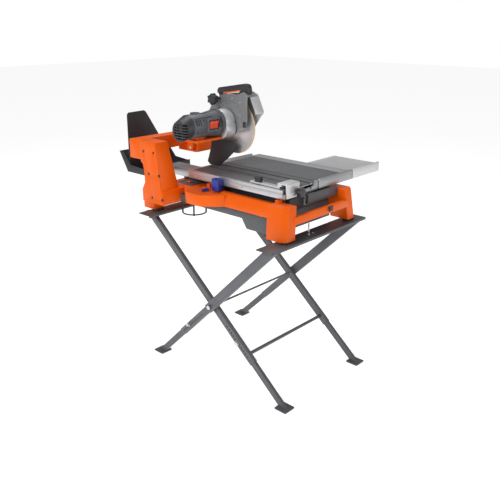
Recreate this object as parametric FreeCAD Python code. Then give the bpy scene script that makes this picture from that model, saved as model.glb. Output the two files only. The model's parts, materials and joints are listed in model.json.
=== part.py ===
"""Wet tile cutter on a folding stand: every piece as its own closed solid, in millimetres.

X runs to the operator's right, Y away from the operator and Z up from the floor.
"""
import os

import FreeCAD
import Part
from math import atan2, cos, degrees, hypot, pi, radians, sin

V = FreeCAD.Vector

# ---- stand ----
TUBE_WIDTH = 20.0            # leg tube, across the stand
TUBE_DEPTH = 34.0            # leg tube, in the plane of the leg
TUBE_WALL = 2.0
STIFFENER_DEPTH = 44.0       # deeper upper half of the outer legs
INNER_LEG_X = 278.0          # centre plane of the inner legs
LEG_GAP = 3.0                # between an inner and an outer leg
PIVOT_Y = -20.0
PIVOT_Z = 368.0
STAND_TOP = 743.0
BEAM_SHEET = 4.0
BEAM_HALF_LENGTH = 345.0
BEAM_DEPTH = 84.0
BEAM_LIP = 12.0
BEAM_SKIRT = 40.0
FRONT_BEAM_Y = -423.0        # front edge of the front beam
REAR_BEAM_Y = 346.0          # front edge of the rear beam
OUTER_LEG_SEAT = 23.9239       # leg centre line behind the front beam's edge, at the stand's top
INNER_LEG_SEAT = 77.2745       # the same behind the rear beam's edge
SLEEVE_END = 242.0           # from the floor to the sleeve's mouth, along the leg
EXTENSION_OVERLAP = 180.0
SLIDE_GAP = 0.4
HOLE_RADIUS = 3.5
HOLE_PITCH = 17.0
HOLE_COUNT = 12
FOOT_SIZE = 66.0
FOOT_PLATE = 5.0
PIVOT_RADIUS = 5.0
PIVOT_FIT = 0.05
BOLT_HEAD_RADIUS = 10.0
BOLT_HEAD = 6.0
CROSS_BAR_RADIUS = 8.0
CROSS_BAR_Z = 187.0

# ---- base casting and what stands on it ----
FRAME_CENTRE_X = 30.0        # middle of the saw, right of the stand's middle
FRAME_HALF_WIDTH = 267.0     # at the bottom of the front legs
FRAME_TAPER = 20.0           # each front leg leans in by this at the top
FRAME_FRONT = -402.0
FRAME_FOOT = 752.0
FRAME_TOP = 896.0
CORNER_DEPTH = 100.0         # a front leg, front to back
CORNER_WIDTH = 72.0
CORNER_CHAMFER = 24.0
WALL_TOP = 890.0
WALL_BOTTOM = 833.0
WALL_INSET = 32.0            # side wall behind the outside of the front leg
WALL_WIDTH = 50.0
CAST_WALL = 5.0
FRONT_BAR_BOTTOM = 815.0
FRONT_BAR_TOP = 848.0
COLUMN_LEFT = -281.0
COVER_SHEET = 4.0
SCREW_RADIUS = 7.0
COLUMN_FRONT = 322.0         # at the foot of the column
COLUMN_LEAN = 34.0           # the front face leans back by this
COLUMN_REAR = 470.0
COLUMN_TOP = 1083.0
COLUMN_TOP_RIGHT = -205.0
COLUMN_FOOT_RIGHT = -158.0
CROSS_BOTTOM = 790.0
CROSS_TOP = 852.0
CROSS_RIGHT = 262.0
ARM_FRONT = 480.0
ARM_REAR = 552.0
ARM_BOTTOM = 1018.0
ARM_RIGHT = 150.0
ARM_BLOCK_BOTTOM = 990.0
BRACKET_LEFT = 35.0
BRACKET_FRONT = 402.0
BRACKET_BOTTOM = 985.0
BRACKET_TOP = 1046.0
PIN_Y = 435.0                # plunge pivot
PIN_Z = 1013.0
PIN_RADIUS = 8.0

# ---- sliding table ----
TABLE_TOP = 952.0
TABLE_LEFT = -160.0
TABLE_RIGHT = 345.0
TABLE_FRONT = -333.0
TABLE_REAR = 262.0
MAT_RIGHT = 284.0
MAT_THICK = 6.0
PLATE_THICK = 4.0
RAIL_HEIGHT = 38.0
RAIL_WIDTH = 12.0
RAIL_FLANGE = 46.0
BLADE_X = 25.0
SLOT_WIDTH = 7.0
GROOVE_WIDTH = 4.0
GROOVE_OFFSETS = (-54.0, 46.0)
APRON_THICK = 10.0
APRON_RISE = 7.0
APRON_LEFT = 82.0
NOTCH_BLOCK_LEFT = 2.0
REAR_FENCE_LEFT = 75.0
REAR_FENCE_RISE = 12.0
EXTENSION_GAP = 4.0
EXTENSION_WIDTH = 230.0
EXTENSION_DEPTH = 273.0
RIB_PITCH = 18.0
ROD_RADIUS = 9.0
ROD_FIT = 0.08
ROD_INSET = 60.0
ROD_OVERLAP = 200.0
GUIDE_TOP_Z = 904.0          # top of the fixed guide beam under the blade
GUIDE_HEIGHT = 42.0
GUIDE_WIDTH = 88.0
GUIDE_FRONT = -336.0
GUIDE_REAR = 596.0
LINER_LEFT = -112.0
LINER_TOP = 905.0
LINER_FLOOR = 846.0
LINER_WALL = 4.0
ROLLER_RADIUS = 13.0
ROLLER_WIDTH = 20.0
ROLLER_AXLE = 4.0
ROLLER_FIT = 0.08
ROLLER_YS = (-300.0, 120.0)

# ---- head ----
BLADE_RADIUS = 127.0
BLADE_THICK = 2.4
RIM_DEPTH = 8.0
BLADE_Y = 127.0
BLADE_Z = 1150.0
MOTOR_Y = 150.0
MOTOR_Z = 1177.7
ARBOR_RADIUS = 8.0
SHAFT_RADIUS = 6.0
SHAFT_FIT = 0.05
MOTOR_LEFT = -307.0
TAIL_LENGTH = 46.0
TAIL_RADIUS = 46.0
TAIL_DROP = 15.0
MOTOR_RIGHT = -75.0
MOTOR_RADIUS = 54.0
FLANGE_RADIUS = 62.0
FLANGE_LENGTH = 22.0
HOUSING_WALL = 4.0
STATOR_WALL = 10.0
POLE_DEPTH = 9.5             # from the stator's bore to the armature
AIR_GAP = 1.0
FAN_GAP = 6.0
GEARCASE_RIGHT = -14.0
PINION_TEETH = 12
WHEEL_TEETH = 24
MODULE = 2.0
GEAR_WIDTH = 16.0
GEAR_LEFT = -48.0
GUARD_LEFT = -10.0
GUARD_RIGHT = 60.0
GUARD_RADIUS = 155.0
GUARD_WALL = 4.0
VISOR_LEFT = 6.0
FLAP_LEFT = -17.0
FLAP_SHEET = 3.0
HINGE_Y = 238.0              # hinge of the splash flap
HINGE_Z = 1094.0
KNOB_RADIUS = 22.0
LOBES = 6

# Water pan, ring and spray tray
PAN_FRONT = -286.0
PAN_REAR = 306.0
PAN_LEFT = -180.0
PAN_TOP = 828.0
PAN_SUMP = 746.0
PAN_SHELF = 790.0
RING_X = -136.0
RING_Y = 256.0
RING_RADIUS = 57.0
RING_WIRE = 3.5
RING_DROP = 52.0
TRAY_LEFT = -165.0
TRAY_RIGHT = 150.0
TRAY_BACK = 740.0
TRAY_FLOOR = 868.0

# Guide, lever, switch and handle
RIP_LEFT = -150.0
RIP_WIDTH = 84.0
RIP_TOP = 979.0
RIP_GAP = 1.5
RIP_SHEET = 6.0
RIP_SCREW_Z = 936.0
LOCK_POINT = (-205.0, 92.0)
SWITCH = (-178.0, -118.0, 1160.0, 1204.0)
BEARING_WIDTH = 10.0
HANDLE_X = (6.0, 34.0)


def box(x0, x1, y0, y1, z0, z1):
    """A block between two corners."""
    return Part.makeBox(x1 - x0, y1 - y0, z1 - z0, V(x0, y0, z0))


def rod(start, axis, radius, length):
    """A round bar from a point along an axis letter."""
    way = {"x": V(1, 0, 0), "y": V(0, 1, 0), "z": V(0, 0, 1)}[axis]
    return Part.makeCylinder(radius, length, V(*start), way)


def ring(start, axis, outer, inner, length):
    """A round tube."""
    return rod(start, axis, outer, length).cut(rod(start, axis, inner, length))


def face_of(points):
    """A flat face through points in order."""
    return Part.Face(Part.makePolygon([V(*p) for p in points] + [V(*points[0])]))


def prism_x(outline, x0, x1):
    """An outline of (y, z) points drawn out along X."""
    return face_of([(x0, y, z) for y, z in outline]).extrude(V(x1 - x0, 0, 0))


def prism_y(outline, y0, y1):
    """An outline of (x, z) points drawn out along Y."""
    return face_of([(x, y0, z) for x, z in outline]).extrude(V(0, y1 - y0, 0))


def prism_z(outline, z0, z1):
    """An outline of (x, y) points drawn out along Z."""
    return face_of([(x, y, z0) for x, y in outline]).extrude(V(0, 0, z1 - z0))


def fuse(*shapes):
    """One solid from touching shapes, with its coplanar faces merged."""
    joined = shapes[0].fuse(list(shapes[1:])) if len(shapes) > 1 else shapes[0]
    return joined.removeSplitter()


def cut(shape, *tools):
    """A shape less each tool."""
    for tool in tools:
        shape = shape.cut(tool)
    return shape.removeSplitter()


def group(*shapes):
    """Separate solids kept in one node."""
    return Part.makeCompound(list(shapes))


def round_edges(shape, radius, direction, where=lambda centre: True):
    """Fillet the straight edges that run along a direction."""
    chosen = []
    for edge in shape.Edges:
        if len(edge.Vertexes) == 2 and edge.Curve.TypeId == "Part::GeomLine":
            way = (edge.Vertexes[1].Point - edge.Vertexes[0].Point).normalize()
            if abs(way.dot(V(*direction))) > 0.97 and where(edge.CenterOfMass):
                chosen.append(edge)
    return shape.makeFillet(radius, chosen) if chosen else shape


def lobed_knob(centre, axis, radius, height):
    """A hand knob with lobes round its rim, starting at a point along +axis."""
    knob = rod((0, 0, 0), "z", radius * 0.8, height)
    for lobe in range(LOBES):
        angle = 2 * pi * lobe / LOBES
        knob = knob.fuse(rod((radius * 0.74 * cos(angle), radius * 0.74 * sin(angle), 0), "z",
                             radius * 0.26, height))
    knob = knob.removeSplitter()
    turn = {"x": (V(0, 1, 0), 90), "y": (V(1, 0, 0), -90), "z": (V(0, 0, 1), 0)}[axis]
    knob.rotate(V(0, 0, 0), *turn)
    knob.translate(V(*centre))
    return knob


def toothed_wheel(teeth, width, bore, phase):
    """A spur gear on the X axis with straight flanks, relieved for backlash."""
    pitch = MODULE * teeth / 2
    root = pitch - 1.25 * MODULE
    tip = pitch + 0.8 * MODULE
    wheel = rod((0, 0, 0), "x", root, width)
    half_root = 0.95 * MODULE
    half_tip = 0.36 * MODULE
    for tooth in range(teeth):
        outline = [(-half_root, root - 0.5), (half_root, root - 0.5), (half_tip, tip), (-half_tip, tip)]
        one = prism_x(outline, 0, width)
        one.rotate(V(0, 0, 0), V(1, 0, 0), degrees(2 * pi * tooth / teeth) + phase)
        wheel = wheel.fuse(one)
    return cut(wheel, rod((-1, 0, 0), "x", bore, width + 2))


# ---------------------------------------------------------------- stand

OUTER_LEG_X = INNER_LEG_X + TUBE_WIDTH + LEG_GAP
LEGS_FIT = TUBE_WALL + SLIDE_GAP


class Leg:
    """The line of a leg: along it from the floor, through the pivot, up to its beam."""

    def __init__(self, foot_y):
        self.foot_y = foot_y
        run = PIVOT_Y - foot_y
        self.to_pivot = hypot(run, PIVOT_Z)
        self.way = V(0, run / self.to_pivot, PIVOT_Z / self.to_pivot)
        self.tilt = degrees(atan2(run, PIVOT_Z))

    def place(self, shape, x):
        """Turn a shape drawn along Z to lie along the leg at x."""
        shape.rotate(V(0, 0, 0), V(1, 0, 0), -self.tilt)
        shape.translate(V(x, self.foot_y, 0))
        return shape

    def tube(self, x, width, depth, wall, start, end):
        """A rectangular tube between two distances from the floor."""
        outer = box(-width / 2, width / 2, -depth / 2, depth / 2, start, end)
        inner = box(-width / 2 + wall, width / 2 - wall, -depth / 2 + wall, depth / 2 - wall,
                    start - 1, end + 1)
        return self.place(outer.cut(inner), x)

    def side_hole(self, x, distance, radius, x0, x1):
        """A drill across the leg at a distance from the floor."""
        return self.place(rod((x0, 0, distance), "x", radius, x1 - x0), x)

    def point(self, distance):
        """The point on the leg's centre line."""
        return V(0, self.foot_y, 0) + self.way * distance


def foot_of(top_y):
    """Where a leg through the pivot meets the floor, from its place at the stand's top."""
    return PIVOT_Y + (PIVOT_Y - top_y) * PIVOT_Z / (STAND_TOP - PIVOT_Z)


INNER_LEG = Leg(foot_of(REAR_BEAM_Y + INNER_LEG_SEAT))
OUTER_LEG = Leg(foot_of(FRONT_BEAM_Y + OUTER_LEG_SEAT))


def trimmed(shape):
    """Cut a leg off flat under its beam."""
    return cut(shape, box(-500, 500, -1500, 1500, STAND_TOP - BEAM_SHEET, 3000))


def leg_sleeve(leg, side, x, stiff):
    """An upper leg tube with its row of height holes in the outer wall."""
    centre = side * x
    top = leg.to_pivot * (STAND_TOP + 60) / PIVOT_Z
    sleeve = leg.tube(centre, TUBE_WIDTH, TUBE_DEPTH, TUBE_WALL, SLEEVE_END, top)
    if stiff:
        shell = leg.place(box(-TUBE_WIDTH / 2, TUBE_WIDTH / 2, -STIFFENER_DEPTH / 2,
                              STIFFENER_DEPTH / 2, leg.to_pivot - 22, top), centre)
        bore = leg.place(box(-TUBE_WIDTH / 2 + TUBE_WALL, TUBE_WIDTH / 2 - TUBE_WALL,
                             -TUBE_DEPTH / 2 + TUBE_WALL, TUBE_DEPTH / 2 - TUBE_WALL,
                             leg.to_pivot - 23, top + 1), centre)
        sleeve = fuse(sleeve, shell.cut(bore))
    for hole in range(HOLE_COUNT):
        distance = SLEEVE_END + 20 + hole * HOLE_PITCH
        wall_from = TUBE_WIDTH / 2 - TUBE_WALL - 1
        start, end = (wall_from, TUBE_WIDTH) if side > 0 else (-TUBE_WIDTH, -wall_from)
        sleeve = sleeve.cut(leg.side_hole(centre, distance, HOLE_RADIUS, start, end))
    bore_radius = PIVOT_RADIUS + (PIVOT_FIT if stiff else 0)
    sleeve = sleeve.cut(leg.side_hole(centre, leg.to_pivot, bore_radius, -TUBE_WIDTH, TUBE_WIDTH))
    return trimmed(sleeve)


def leg_extension(leg, side, x):
    """The lower tube that slides in a sleeve, with the foot plate welded to it."""
    centre = side * x
    width = TUBE_WIDTH - 2 * LEGS_FIT
    depth = TUBE_DEPTH - 2 * LEGS_FIT
    tube = leg.tube(centre, width, depth, TUBE_WALL, -30, SLEEVE_END + EXTENSION_OVERLAP)
    tube = tube.cut(box(-500, 500, -1500, 1500, -100, FOOT_PLATE))
    for hole in range(int((EXTENSION_OVERLAP - 24) / HOLE_PITCH) + 1):
        distance = SLEEVE_END + 20 + hole * HOLE_PITCH
        tube = tube.cut(leg.side_hole(centre, distance, HOLE_RADIUS, -TUBE_WIDTH, TUBE_WIDTH))
    plate = box(centre - FOOT_SIZE / 2, centre + FOOT_SIZE / 2, leg.foot_y - FOOT_SIZE / 2,
                leg.foot_y + FOOT_SIZE / 2, 0, FOOT_PLATE)
    plate = round_edges(plate, 6, (0, 0, 1))
    for dx in (-1, 1):
        plate = plate.cut(rod((centre + dx * FOOT_SIZE * 0.34, leg.foot_y - FOOT_SIZE * 0.3, -1),
                              "z", 4, FOOT_PLATE + 2))
    return fuse(tube, plate)


def beam(front):
    """A cross beam: flat top for the saw, a lip in front and a skirt behind."""
    rear = front + BEAM_DEPTH
    low = STAND_TOP - BEAM_SHEET
    top = box(-BEAM_HALF_LENGTH, BEAM_HALF_LENGTH, front, rear, low, STAND_TOP)
    lip = box(-BEAM_HALF_LENGTH, BEAM_HALF_LENGTH, front, front + BEAM_SHEET,
              STAND_TOP - BEAM_LIP, STAND_TOP)
    inside = INNER_LEG_X - TUBE_WIDTH
    skirt = box(-inside, inside, rear - BEAM_SHEET, rear, STAND_TOP - BEAM_SKIRT, STAND_TOP)
    return fuse(top, lip, skirt)


def stand_parts():
    """Two leg frames crossed at a pivot, each carrying a beam."""
    parts = {}
    sides = (("left", -1), ("right", 1))
    parts["front_beam"] = beam(FRONT_BEAM_Y)
    parts["rear_beam"] = beam(REAR_BEAM_Y)
    parts["inner_legs"] = group(*[leg_sleeve(INNER_LEG, side, INNER_LEG_X, False).cut(parts["rear_beam"])
                                  for _, side in sides])
    past_lip = box(-500, 500, FRONT_BEAM_Y - 50, FRONT_BEAM_Y + BEAM_SHEET, STAND_TOP - BEAM_LIP, STAND_TOP)
    parts["outer_legs"] = group(*[leg_sleeve(OUTER_LEG, side, OUTER_LEG_X, True).cut(past_lip)
                                  for _, side in sides])
    for name, side in sides:
        parts["front_leg_extension_" + name] = leg_extension(INNER_LEG, side, INNER_LEG_X)
        parts["rear_leg_extension_" + name] = leg_extension(OUTER_LEG, side, OUTER_LEG_X)
    reach = OUTER_LEG_X + TUBE_WIDTH / 2 + 0.5
    rod_body = rod((-reach, PIVOT_Y, PIVOT_Z), "x", PIVOT_RADIUS, 2 * reach)
    heads = [rod((-reach - BOLT_HEAD, PIVOT_Y, PIVOT_Z), "x", BOLT_HEAD_RADIUS, BOLT_HEAD),
             rod((reach, PIVOT_Y, PIVOT_Z), "x", BOLT_HEAD_RADIUS, BOLT_HEAD)]
    parts["pivot_rod"] = fuse(rod_body, *heads)
    inside = INNER_LEG_X - TUBE_WIDTH / 2
    bar_y = INNER_LEG.point(INNER_LEG.to_pivot * CROSS_BAR_Z / PIVOT_Z).y
    parts["cross_bar"] = rod((-inside, bar_y, CROSS_BAR_Z), "x", CROSS_BAR_RADIUS, 2 * inside)
    return parts


# ---------------------------------------------------------------- base

def mirrored(x):
    """The same distance on the other side of the saw's middle."""
    return 2 * FRAME_CENTRE_X - x


def front_corner(side):
    """A tapered front leg of the base casting with a chamfered outer corner."""
    rings = []
    for height, lean in ((FRAME_FOOT, 0), (FRAME_TOP, FRAME_TAPER)):
        outside = FRAME_CENTRE_X - FRAME_HALF_WIDTH + lean
        front = FRAME_FRONT + lean * 0.6
        outline = [(outside, front + CORNER_DEPTH), (outside, front + CORNER_CHAMFER),
                   (outside + CORNER_CHAMFER, front), (outside + CORNER_WIDTH, front),
                   (outside + CORNER_WIDTH, front + CORNER_DEPTH)]
        if side > 0:
            outline = [(mirrored(x), y) for x, y in outline]
        rings.append(Part.makePolygon([V(x, y, height) for x, y in outline + outline[:1]]))
    return Part.makeLoft(rings, True, True)


def side_wall(side, rear):
    """A side wall: an upturned channel with a sloping shoulder, open below."""
    outside = FRAME_CENTRE_X - FRAME_HALF_WIDTH + WALL_INSET
    inside = outside + WALL_WIDTH

    def section(inset):
        top = WALL_TOP - inset
        return [(outside + inset, WALL_BOTTOM - inset), (outside + inset + 4, 868),
                (outside + inset + 26, top), (inside - inset, top), (inside - inset, WALL_BOTTOM - inset)]

    start = FRAME_FRONT + CORNER_DEPTH - 30
    sections = []
    for inset in (0, CAST_WALL):
        outline = section(inset)
        if side > 0:
            outline = [(mirrored(x), z) for x, z in outline]
        sections.append(prism_y(outline, start - inset, rear + inset))
    return sections[0].cut(sections[1])


def hollow_block(outline, low, high):
    """A block with a plan outline, hollow and open below."""
    whole = prism_z(outline, low, high)
    inner = whole.makeOffsetShape(-CAST_WALL, 0.01, False, False, 0, 2)
    inner.translate(V(0, 0, -CAST_WALL * 2))
    lower = inner.copy()
    inner.translate(V(0, 0, CAST_WALL * 2))
    return whole.cut(inner).cut(lower)


def column_base():
    """The column, and the cross member that it stands on, as one hollow casting."""
    left = COLUMN_LEFT + COVER_SHEET

    def plan(front, right, height, inset):
        outline = [(left + inset, front + inset), (right - inset, front + inset),
                   (right - inset, COLUMN_REAR - inset), (left + inset, COLUMN_REAR - inset)]
        return Part.makePolygon([V(x, y, height) for x, y in outline + outline[:1]])

    post = Part.makeLoft([plan(COLUMN_FRONT, COLUMN_FOOT_RIGHT, CROSS_BOTTOM, 0),
                          plan(COLUMN_FRONT + COLUMN_LEAN, COLUMN_TOP_RIGHT, COLUMN_TOP, 0)], True, True)
    hollow = Part.makeLoft([plan(COLUMN_FRONT, COLUMN_FOOT_RIGHT, CROSS_BOTTOM - 1, CAST_WALL * 2),
                            plan(COLUMN_FRONT + COLUMN_LEAN, COLUMN_TOP_RIGHT, COLUMN_TOP - 12,
                                 CAST_WALL * 2)], True, True)
    foot = box(left, CROSS_RIGHT, COLUMN_FRONT, COLUMN_REAR, CROSS_BOTTOM, CROSS_TOP)
    foot_hollow = box(left + CAST_WALL, CROSS_RIGHT - CAST_WALL, COLUMN_FRONT + CAST_WALL,
                      COLUMN_REAR - CAST_WALL, CROSS_BOTTOM - 1, CROSS_TOP - CAST_WALL)
    shell = fuse(post, foot)
    shell = shell.cut(hollow).cut(foot_hollow)
    return cut(shell, neck_hollow(left - 1, 600))


def neck_hollow(x0, x1):
    """The scoop behind the column, under its rear block."""
    outline = [(600, 985), (479, 988), (456, 970), (448, 930), (448, 880), (470, 845), (600, 845)]
    return prism_x(outline, x0, x1)


def column_cover():
    """The plate screwed to the column's left side."""
    outline = [(COLUMN_FRONT, CROSS_BOTTOM - 4), (COLUMN_FRONT + COLUMN_LEAN, COLUMN_TOP - 10),
               (COLUMN_FRONT + COLUMN_LEAN + 8, COLUMN_TOP), (COLUMN_REAR, COLUMN_TOP),
               (COLUMN_REAR, CROSS_BOTTOM - 4)]
    plate = prism_x(outline, COLUMN_LEFT, COLUMN_LEFT + COVER_SHEET)
    plate = plate.cut(neck_hollow(COLUMN_LEFT - 1, COLUMN_LEFT + COVER_SHEET + 1))
    for y, z in COVER_SCREWS:
        plate = plate.cut(rod((COLUMN_LEFT - 1, y, z), "x", SCREW_RADIUS + 0.4, COVER_SHEET + 2))
    return plate


COVER_SCREWS = [(row_y + side * 37, z) for row_y, z in ((409, 1034), (378, 928), (361, 812))
                for side in (-1, 1)]


def cover_screws():
    """Six screws sunk in the cover, their heads below its face."""
    screws = []
    for y, z in COVER_SCREWS:
        head = rod((COLUMN_LEFT + 1.5, y, z), "x", SCREW_RADIUS, COVER_SHEET - 1.5)
        screws.append(head)
    return group(*screws)


def arm():
    """The beam from the column's head to the plunge bracket."""
    block = box(COLUMN_LEFT, COLUMN_TOP_RIGHT, COLUMN_REAR, ARM_REAR, ARM_BLOCK_BOTTOM, COLUMN_TOP)
    span = box(COLUMN_TOP_RIGHT, ARM_RIGHT, ARM_FRONT, ARM_REAR, ARM_BOTTOM, COLUMN_TOP)
    bracket = box(BRACKET_LEFT, ARM_RIGHT, BRACKET_FRONT, ARM_REAR, BRACKET_BOTTOM, BRACKET_TOP)
    bracket = round_edges(bracket, 16, (1, 0, 0), lambda c: c.y < BRACKET_FRONT + 5)
    whole = fuse(block, span, bracket)
    whole = round_edges(whole, 8, (1, 0, 0), lambda c: c.z > COLUMN_TOP - 1 and c.y > ARM_REAR - 1)
    hollow = box(COLUMN_TOP_RIGHT + 10, BRACKET_LEFT - 10, ARM_FRONT + 6, ARM_REAR - 6,
                 ARM_BOTTOM - 1, COLUMN_TOP - 6)
    return cut(whole, hollow, rod((BRACKET_LEFT - 1, PIN_Y, PIN_Z), "x", PIN_RADIUS,
                                  ARM_RIGHT - BRACKET_LEFT + 2))


def base_frame():
    """The base casting: four corner legs, side walls, a front bar and the lock shelf."""
    outside = FRAME_CENTRE_X - FRAME_HALF_WIDTH + WALL_INSET
    rear = COLUMN_FRONT
    walls = [side_wall(-1, rear - 172), side_wall(1, rear)]
    shelf = hollow_block([(outside, -24), (outside - 26, 0), (COLUMN_LEFT, 61), (COLUMN_LEFT, 151),
                          (-140, rear), (LINER_LEFT - 4, rear), (LINER_LEFT - 4, 60),
                          (outside + WALL_WIDTH, 40), (outside + WALL_WIDTH, -24)], WALL_BOTTOM, WALL_TOP - 5)
    ties = [box(outside + 6, mirrored(outside + 6), y, y + 8, PAN_TOP, LINER_FLOOR - 0.5) for y in (-240, 90)]
    inner_left = FRAME_CENTRE_X - FRAME_HALF_WIDTH + CORNER_WIDTH
    bar = box(inner_left, mirrored(inner_left), FRAME_FRONT + 4, FRAME_FRONT + 24,
              FRONT_BAR_BOTTOM, FRONT_BAR_TOP)
    rear_legs = [box(-277, -215, 392, COLUMN_REAR - 2, FRAME_FOOT, CROSS_BOTTOM),
                 box(190, CROSS_RIGHT, 350, COLUMN_REAR - 2, FRAME_FOOT, CROSS_BOTTOM)]
    sill = box(-277, CROSS_RIGHT, COLUMN_FRONT + 2, COLUMN_REAR - 2, CROSS_BOTTOM - 7, CROSS_BOTTOM)
    web = box(-110, CROSS_RIGHT, COLUMN_FRONT - 14, COLUMN_FRONT - 0.5, CROSS_BOTTOM - 7, CROSS_TOP - 6)
    web = web.fuse(box(-110, CROSS_RIGHT, COLUMN_FRONT - 14, COLUMN_FRONT + 20, CROSS_BOTTOM - 7,
                       CROSS_BOTTOM))
    return fuse(front_corner(-1), front_corner(1), *walls, shelf, bar, *rear_legs, sill, web, *ties,
                *roller_axles())


PAN_RIGHT = mirrored(PAN_LEFT)


def water_pan():
    """The grey water pan hung under the casting, deeper in front."""
    outline = [(PAN_FRONT, PAN_TOP), (PAN_FRONT, PAN_SUMP), (-134, PAN_SUMP), (-106, PAN_SHELF),
               (PAN_REAR, PAN_SHELF), (PAN_REAR, PAN_TOP)]
    inner = [(PAN_FRONT + 3, PAN_TOP + 1), (PAN_FRONT + 3, PAN_SUMP + 3), (-136, PAN_SUMP + 3),
             (-108, PAN_SHELF + 3), (PAN_REAR - 3, PAN_SHELF + 3), (PAN_REAR - 3, PAN_TOP + 1)]
    shell = prism_x(outline, PAN_LEFT, PAN_RIGHT).cut(prism_x(inner, PAN_LEFT + 3, PAN_RIGHT - 3))
    drain = rod((FRAME_CENTRE_X, -230, PAN_SUMP), "z", 14, 8)
    return fuse(shell, drain)


def pan_ring():
    """A half ring with three posts under the pan's rear corner, for the lead and hose."""
    centre = V(RING_X, RING_Y, PAN_SHELF - RING_DROP)
    circle = Part.makeTorus(RING_RADIUS, RING_WIRE, centre, V(0, 0, 1), 0, 360, 180)
    circle.rotate(centre, V(0, 0, 1), 135)
    reach = RING_RADIUS * cos(pi / 4)
    posts = [rod((centre.x + sx * reach, centre.y + sy * reach, centre.z - 5), "z", RING_WIRE + 0.7,
                 RING_DROP + 4.6) for sx, sy in ((-1, 1), (-1, -1), (1, -1))]
    return fuse(circle, *posts)


def water_pump():
    """The pump that stands in the sump."""
    body = rod((150, -230, PAN_SUMP + 3.4), "z", 28, 46)
    spout = rod((150, -230, PAN_SUMP + 40), "z", 6, 24)
    return fuse(body, spout)


TRAY_FRONT = GUIDE_REAR


def rear_tray():
    """The black splash tray behind the table, with a sloping back."""
    lip = TRAY_BACK + 60
    outline = [(TRAY_FRONT, 906), (TRAY_FRONT, TRAY_FLOOR), (TRAY_BACK, TRAY_FLOOR), (lip, 968), (lip, 972),
               (lip - 6, 972), (TRAY_BACK - 3, TRAY_FLOOR + 4), (TRAY_FRONT + 4, TRAY_FLOOR + 4),
               (TRAY_FRONT + 4, 906)]
    sheet = prism_x(outline, TRAY_LEFT, TRAY_RIGHT)
    cheek = [(TRAY_FRONT, TRAY_FLOOR), (TRAY_BACK, TRAY_FLOOR), (lip, 972), (lip - 34, 962),
             (TRAY_BACK - 26, 908), (TRAY_FRONT, 900)]
    cheeks = [prism_x(cheek, TRAY_LEFT, TRAY_LEFT + 4), prism_x(cheek, TRAY_RIGHT - 4, TRAY_RIGHT)]
    return fuse(sheet, *cheeks)


def splash_guard():
    """The upright splash sheet in the rear tray."""
    outline = [(-158, TRAY_FLOOR + 4), (94, TRAY_FLOOR + 4), (82, 985), (-32, 1168), (-44, 1178),
               (-146, 1176), (-156, 1166), (-158, 1010)]
    return prism_y(outline, TRAY_BACK - 14, TRAY_BACK - 10)


GUIDE_LEFT_X = BLADE_X - GUIDE_WIDTH / 2
GUIDE_RIGHT_X = BLADE_X + GUIDE_WIDTH / 2
GUIDE_BOTTOM_Z = GUIDE_TOP_Z - GUIDE_HEIGHT


def guide_beam():
    """The fixed aluminium beam under the blade, hollow, with a grooved top."""
    outer = box(GUIDE_LEFT_X, GUIDE_RIGHT_X, GUIDE_FRONT, GUIDE_REAR, GUIDE_BOTTOM_Z, GUIDE_TOP_Z)
    inner = box(GUIDE_LEFT_X + 3, GUIDE_RIGHT_X - 3, GUIDE_FRONT - 1, GUIDE_REAR + 1,
                GUIDE_BOTTOM_Z + 3, GUIDE_TOP_Z - 5)
    grooves = [box(x, x + 5, GUIDE_FRONT - 1, GUIDE_REAR + 1, GUIDE_TOP_Z - 2, GUIDE_TOP_Z + 1)
               for x in (GUIDE_LEFT_X + GUIDE_WIDTH * share for share in (0.25, 0.5, 0.7))]
    return cut(outer, inner, *grooves)


def beam_end_plate():
    """The dark plate on the front end of the guide beam."""
    outline = [(GUIDE_LEFT_X + 5, 911), (GUIDE_LEFT_X + 5, 884), (GUIDE_LEFT_X + 16, 866), (190, 866),
               (204, 880), (204, 911)]
    plate = prism_y(outline, GUIDE_FRONT - 14, GUIDE_FRONT)
    return cut(plate, box(80, 180, GUIDE_FRONT - 6, GUIDE_FRONT + 1, 872, 904))


def guide_liner():
    """The black liner tray inside the casting that carries the guide beam."""
    right = mirrored(LINER_LEFT)
    front = GUIDE_FRONT + 10
    rear = COLUMN_FRONT - 4
    shell = box(LINER_LEFT, right, front, rear, LINER_FLOOR, LINER_TOP)
    shell = shell.cut(box(LINER_LEFT + LINER_WALL, right - LINER_WALL, front + LINER_WALL, rear - LINER_WALL,
                          LINER_FLOOR + LINER_WALL, LINER_TOP + 1))
    ribs = [box(LINER_LEFT + 1, right - 1, y, y + 6, LINER_FLOOR + 1, GUIDE_BOTTOM_Z)
            for y in (-240, -80, 90)]
    shell = fuse(shell, *ribs)
    drain = box(GUIDE_RIGHT_X + 16, right - 20, -60, 70, LINER_FLOOR - 1, LINER_FLOOR + 10)
    channel = box(GUIDE_LEFT_X, GUIDE_RIGHT_X, front - 1, rear + 1, GUIDE_BOTTOM_Z, LINER_TOP + 1)
    return cut(shell, channel, drain)


def rear_carrier():
    """The block on the column's cross member under the guide beam."""
    return box(GUIDE_LEFT_X + 6, GUIDE_RIGHT_X - 6, COLUMN_FRONT + 20, COLUMN_REAR - 4,
               CROSS_TOP, GUIDE_BOTTOM_Z)


def base_feet():
    """Rubber pads between the casting and the stand's beams."""
    corners = [(-200, -380), (260, -380), (-245, 400), (225, 400)]
    return group(*[box(x - 24, x + 24, y - 18, y + 18, STAND_TOP + 0.5, FRAME_FOOT)
                   for x, y in corners])


def lock_lever():
    """The small wing lever on the lock shelf."""
    x, y = LOCK_POINT
    hub = rod((x, y, WALL_TOP - 4.6), "z", 10, 12)
    wing = box(x - 30, x + 12, y - 5, y + 5, WALL_TOP - 1, WALL_TOP + 9)
    return fuse(hub, round_edges(wing, 4, (0, 0, 1)))


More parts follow.
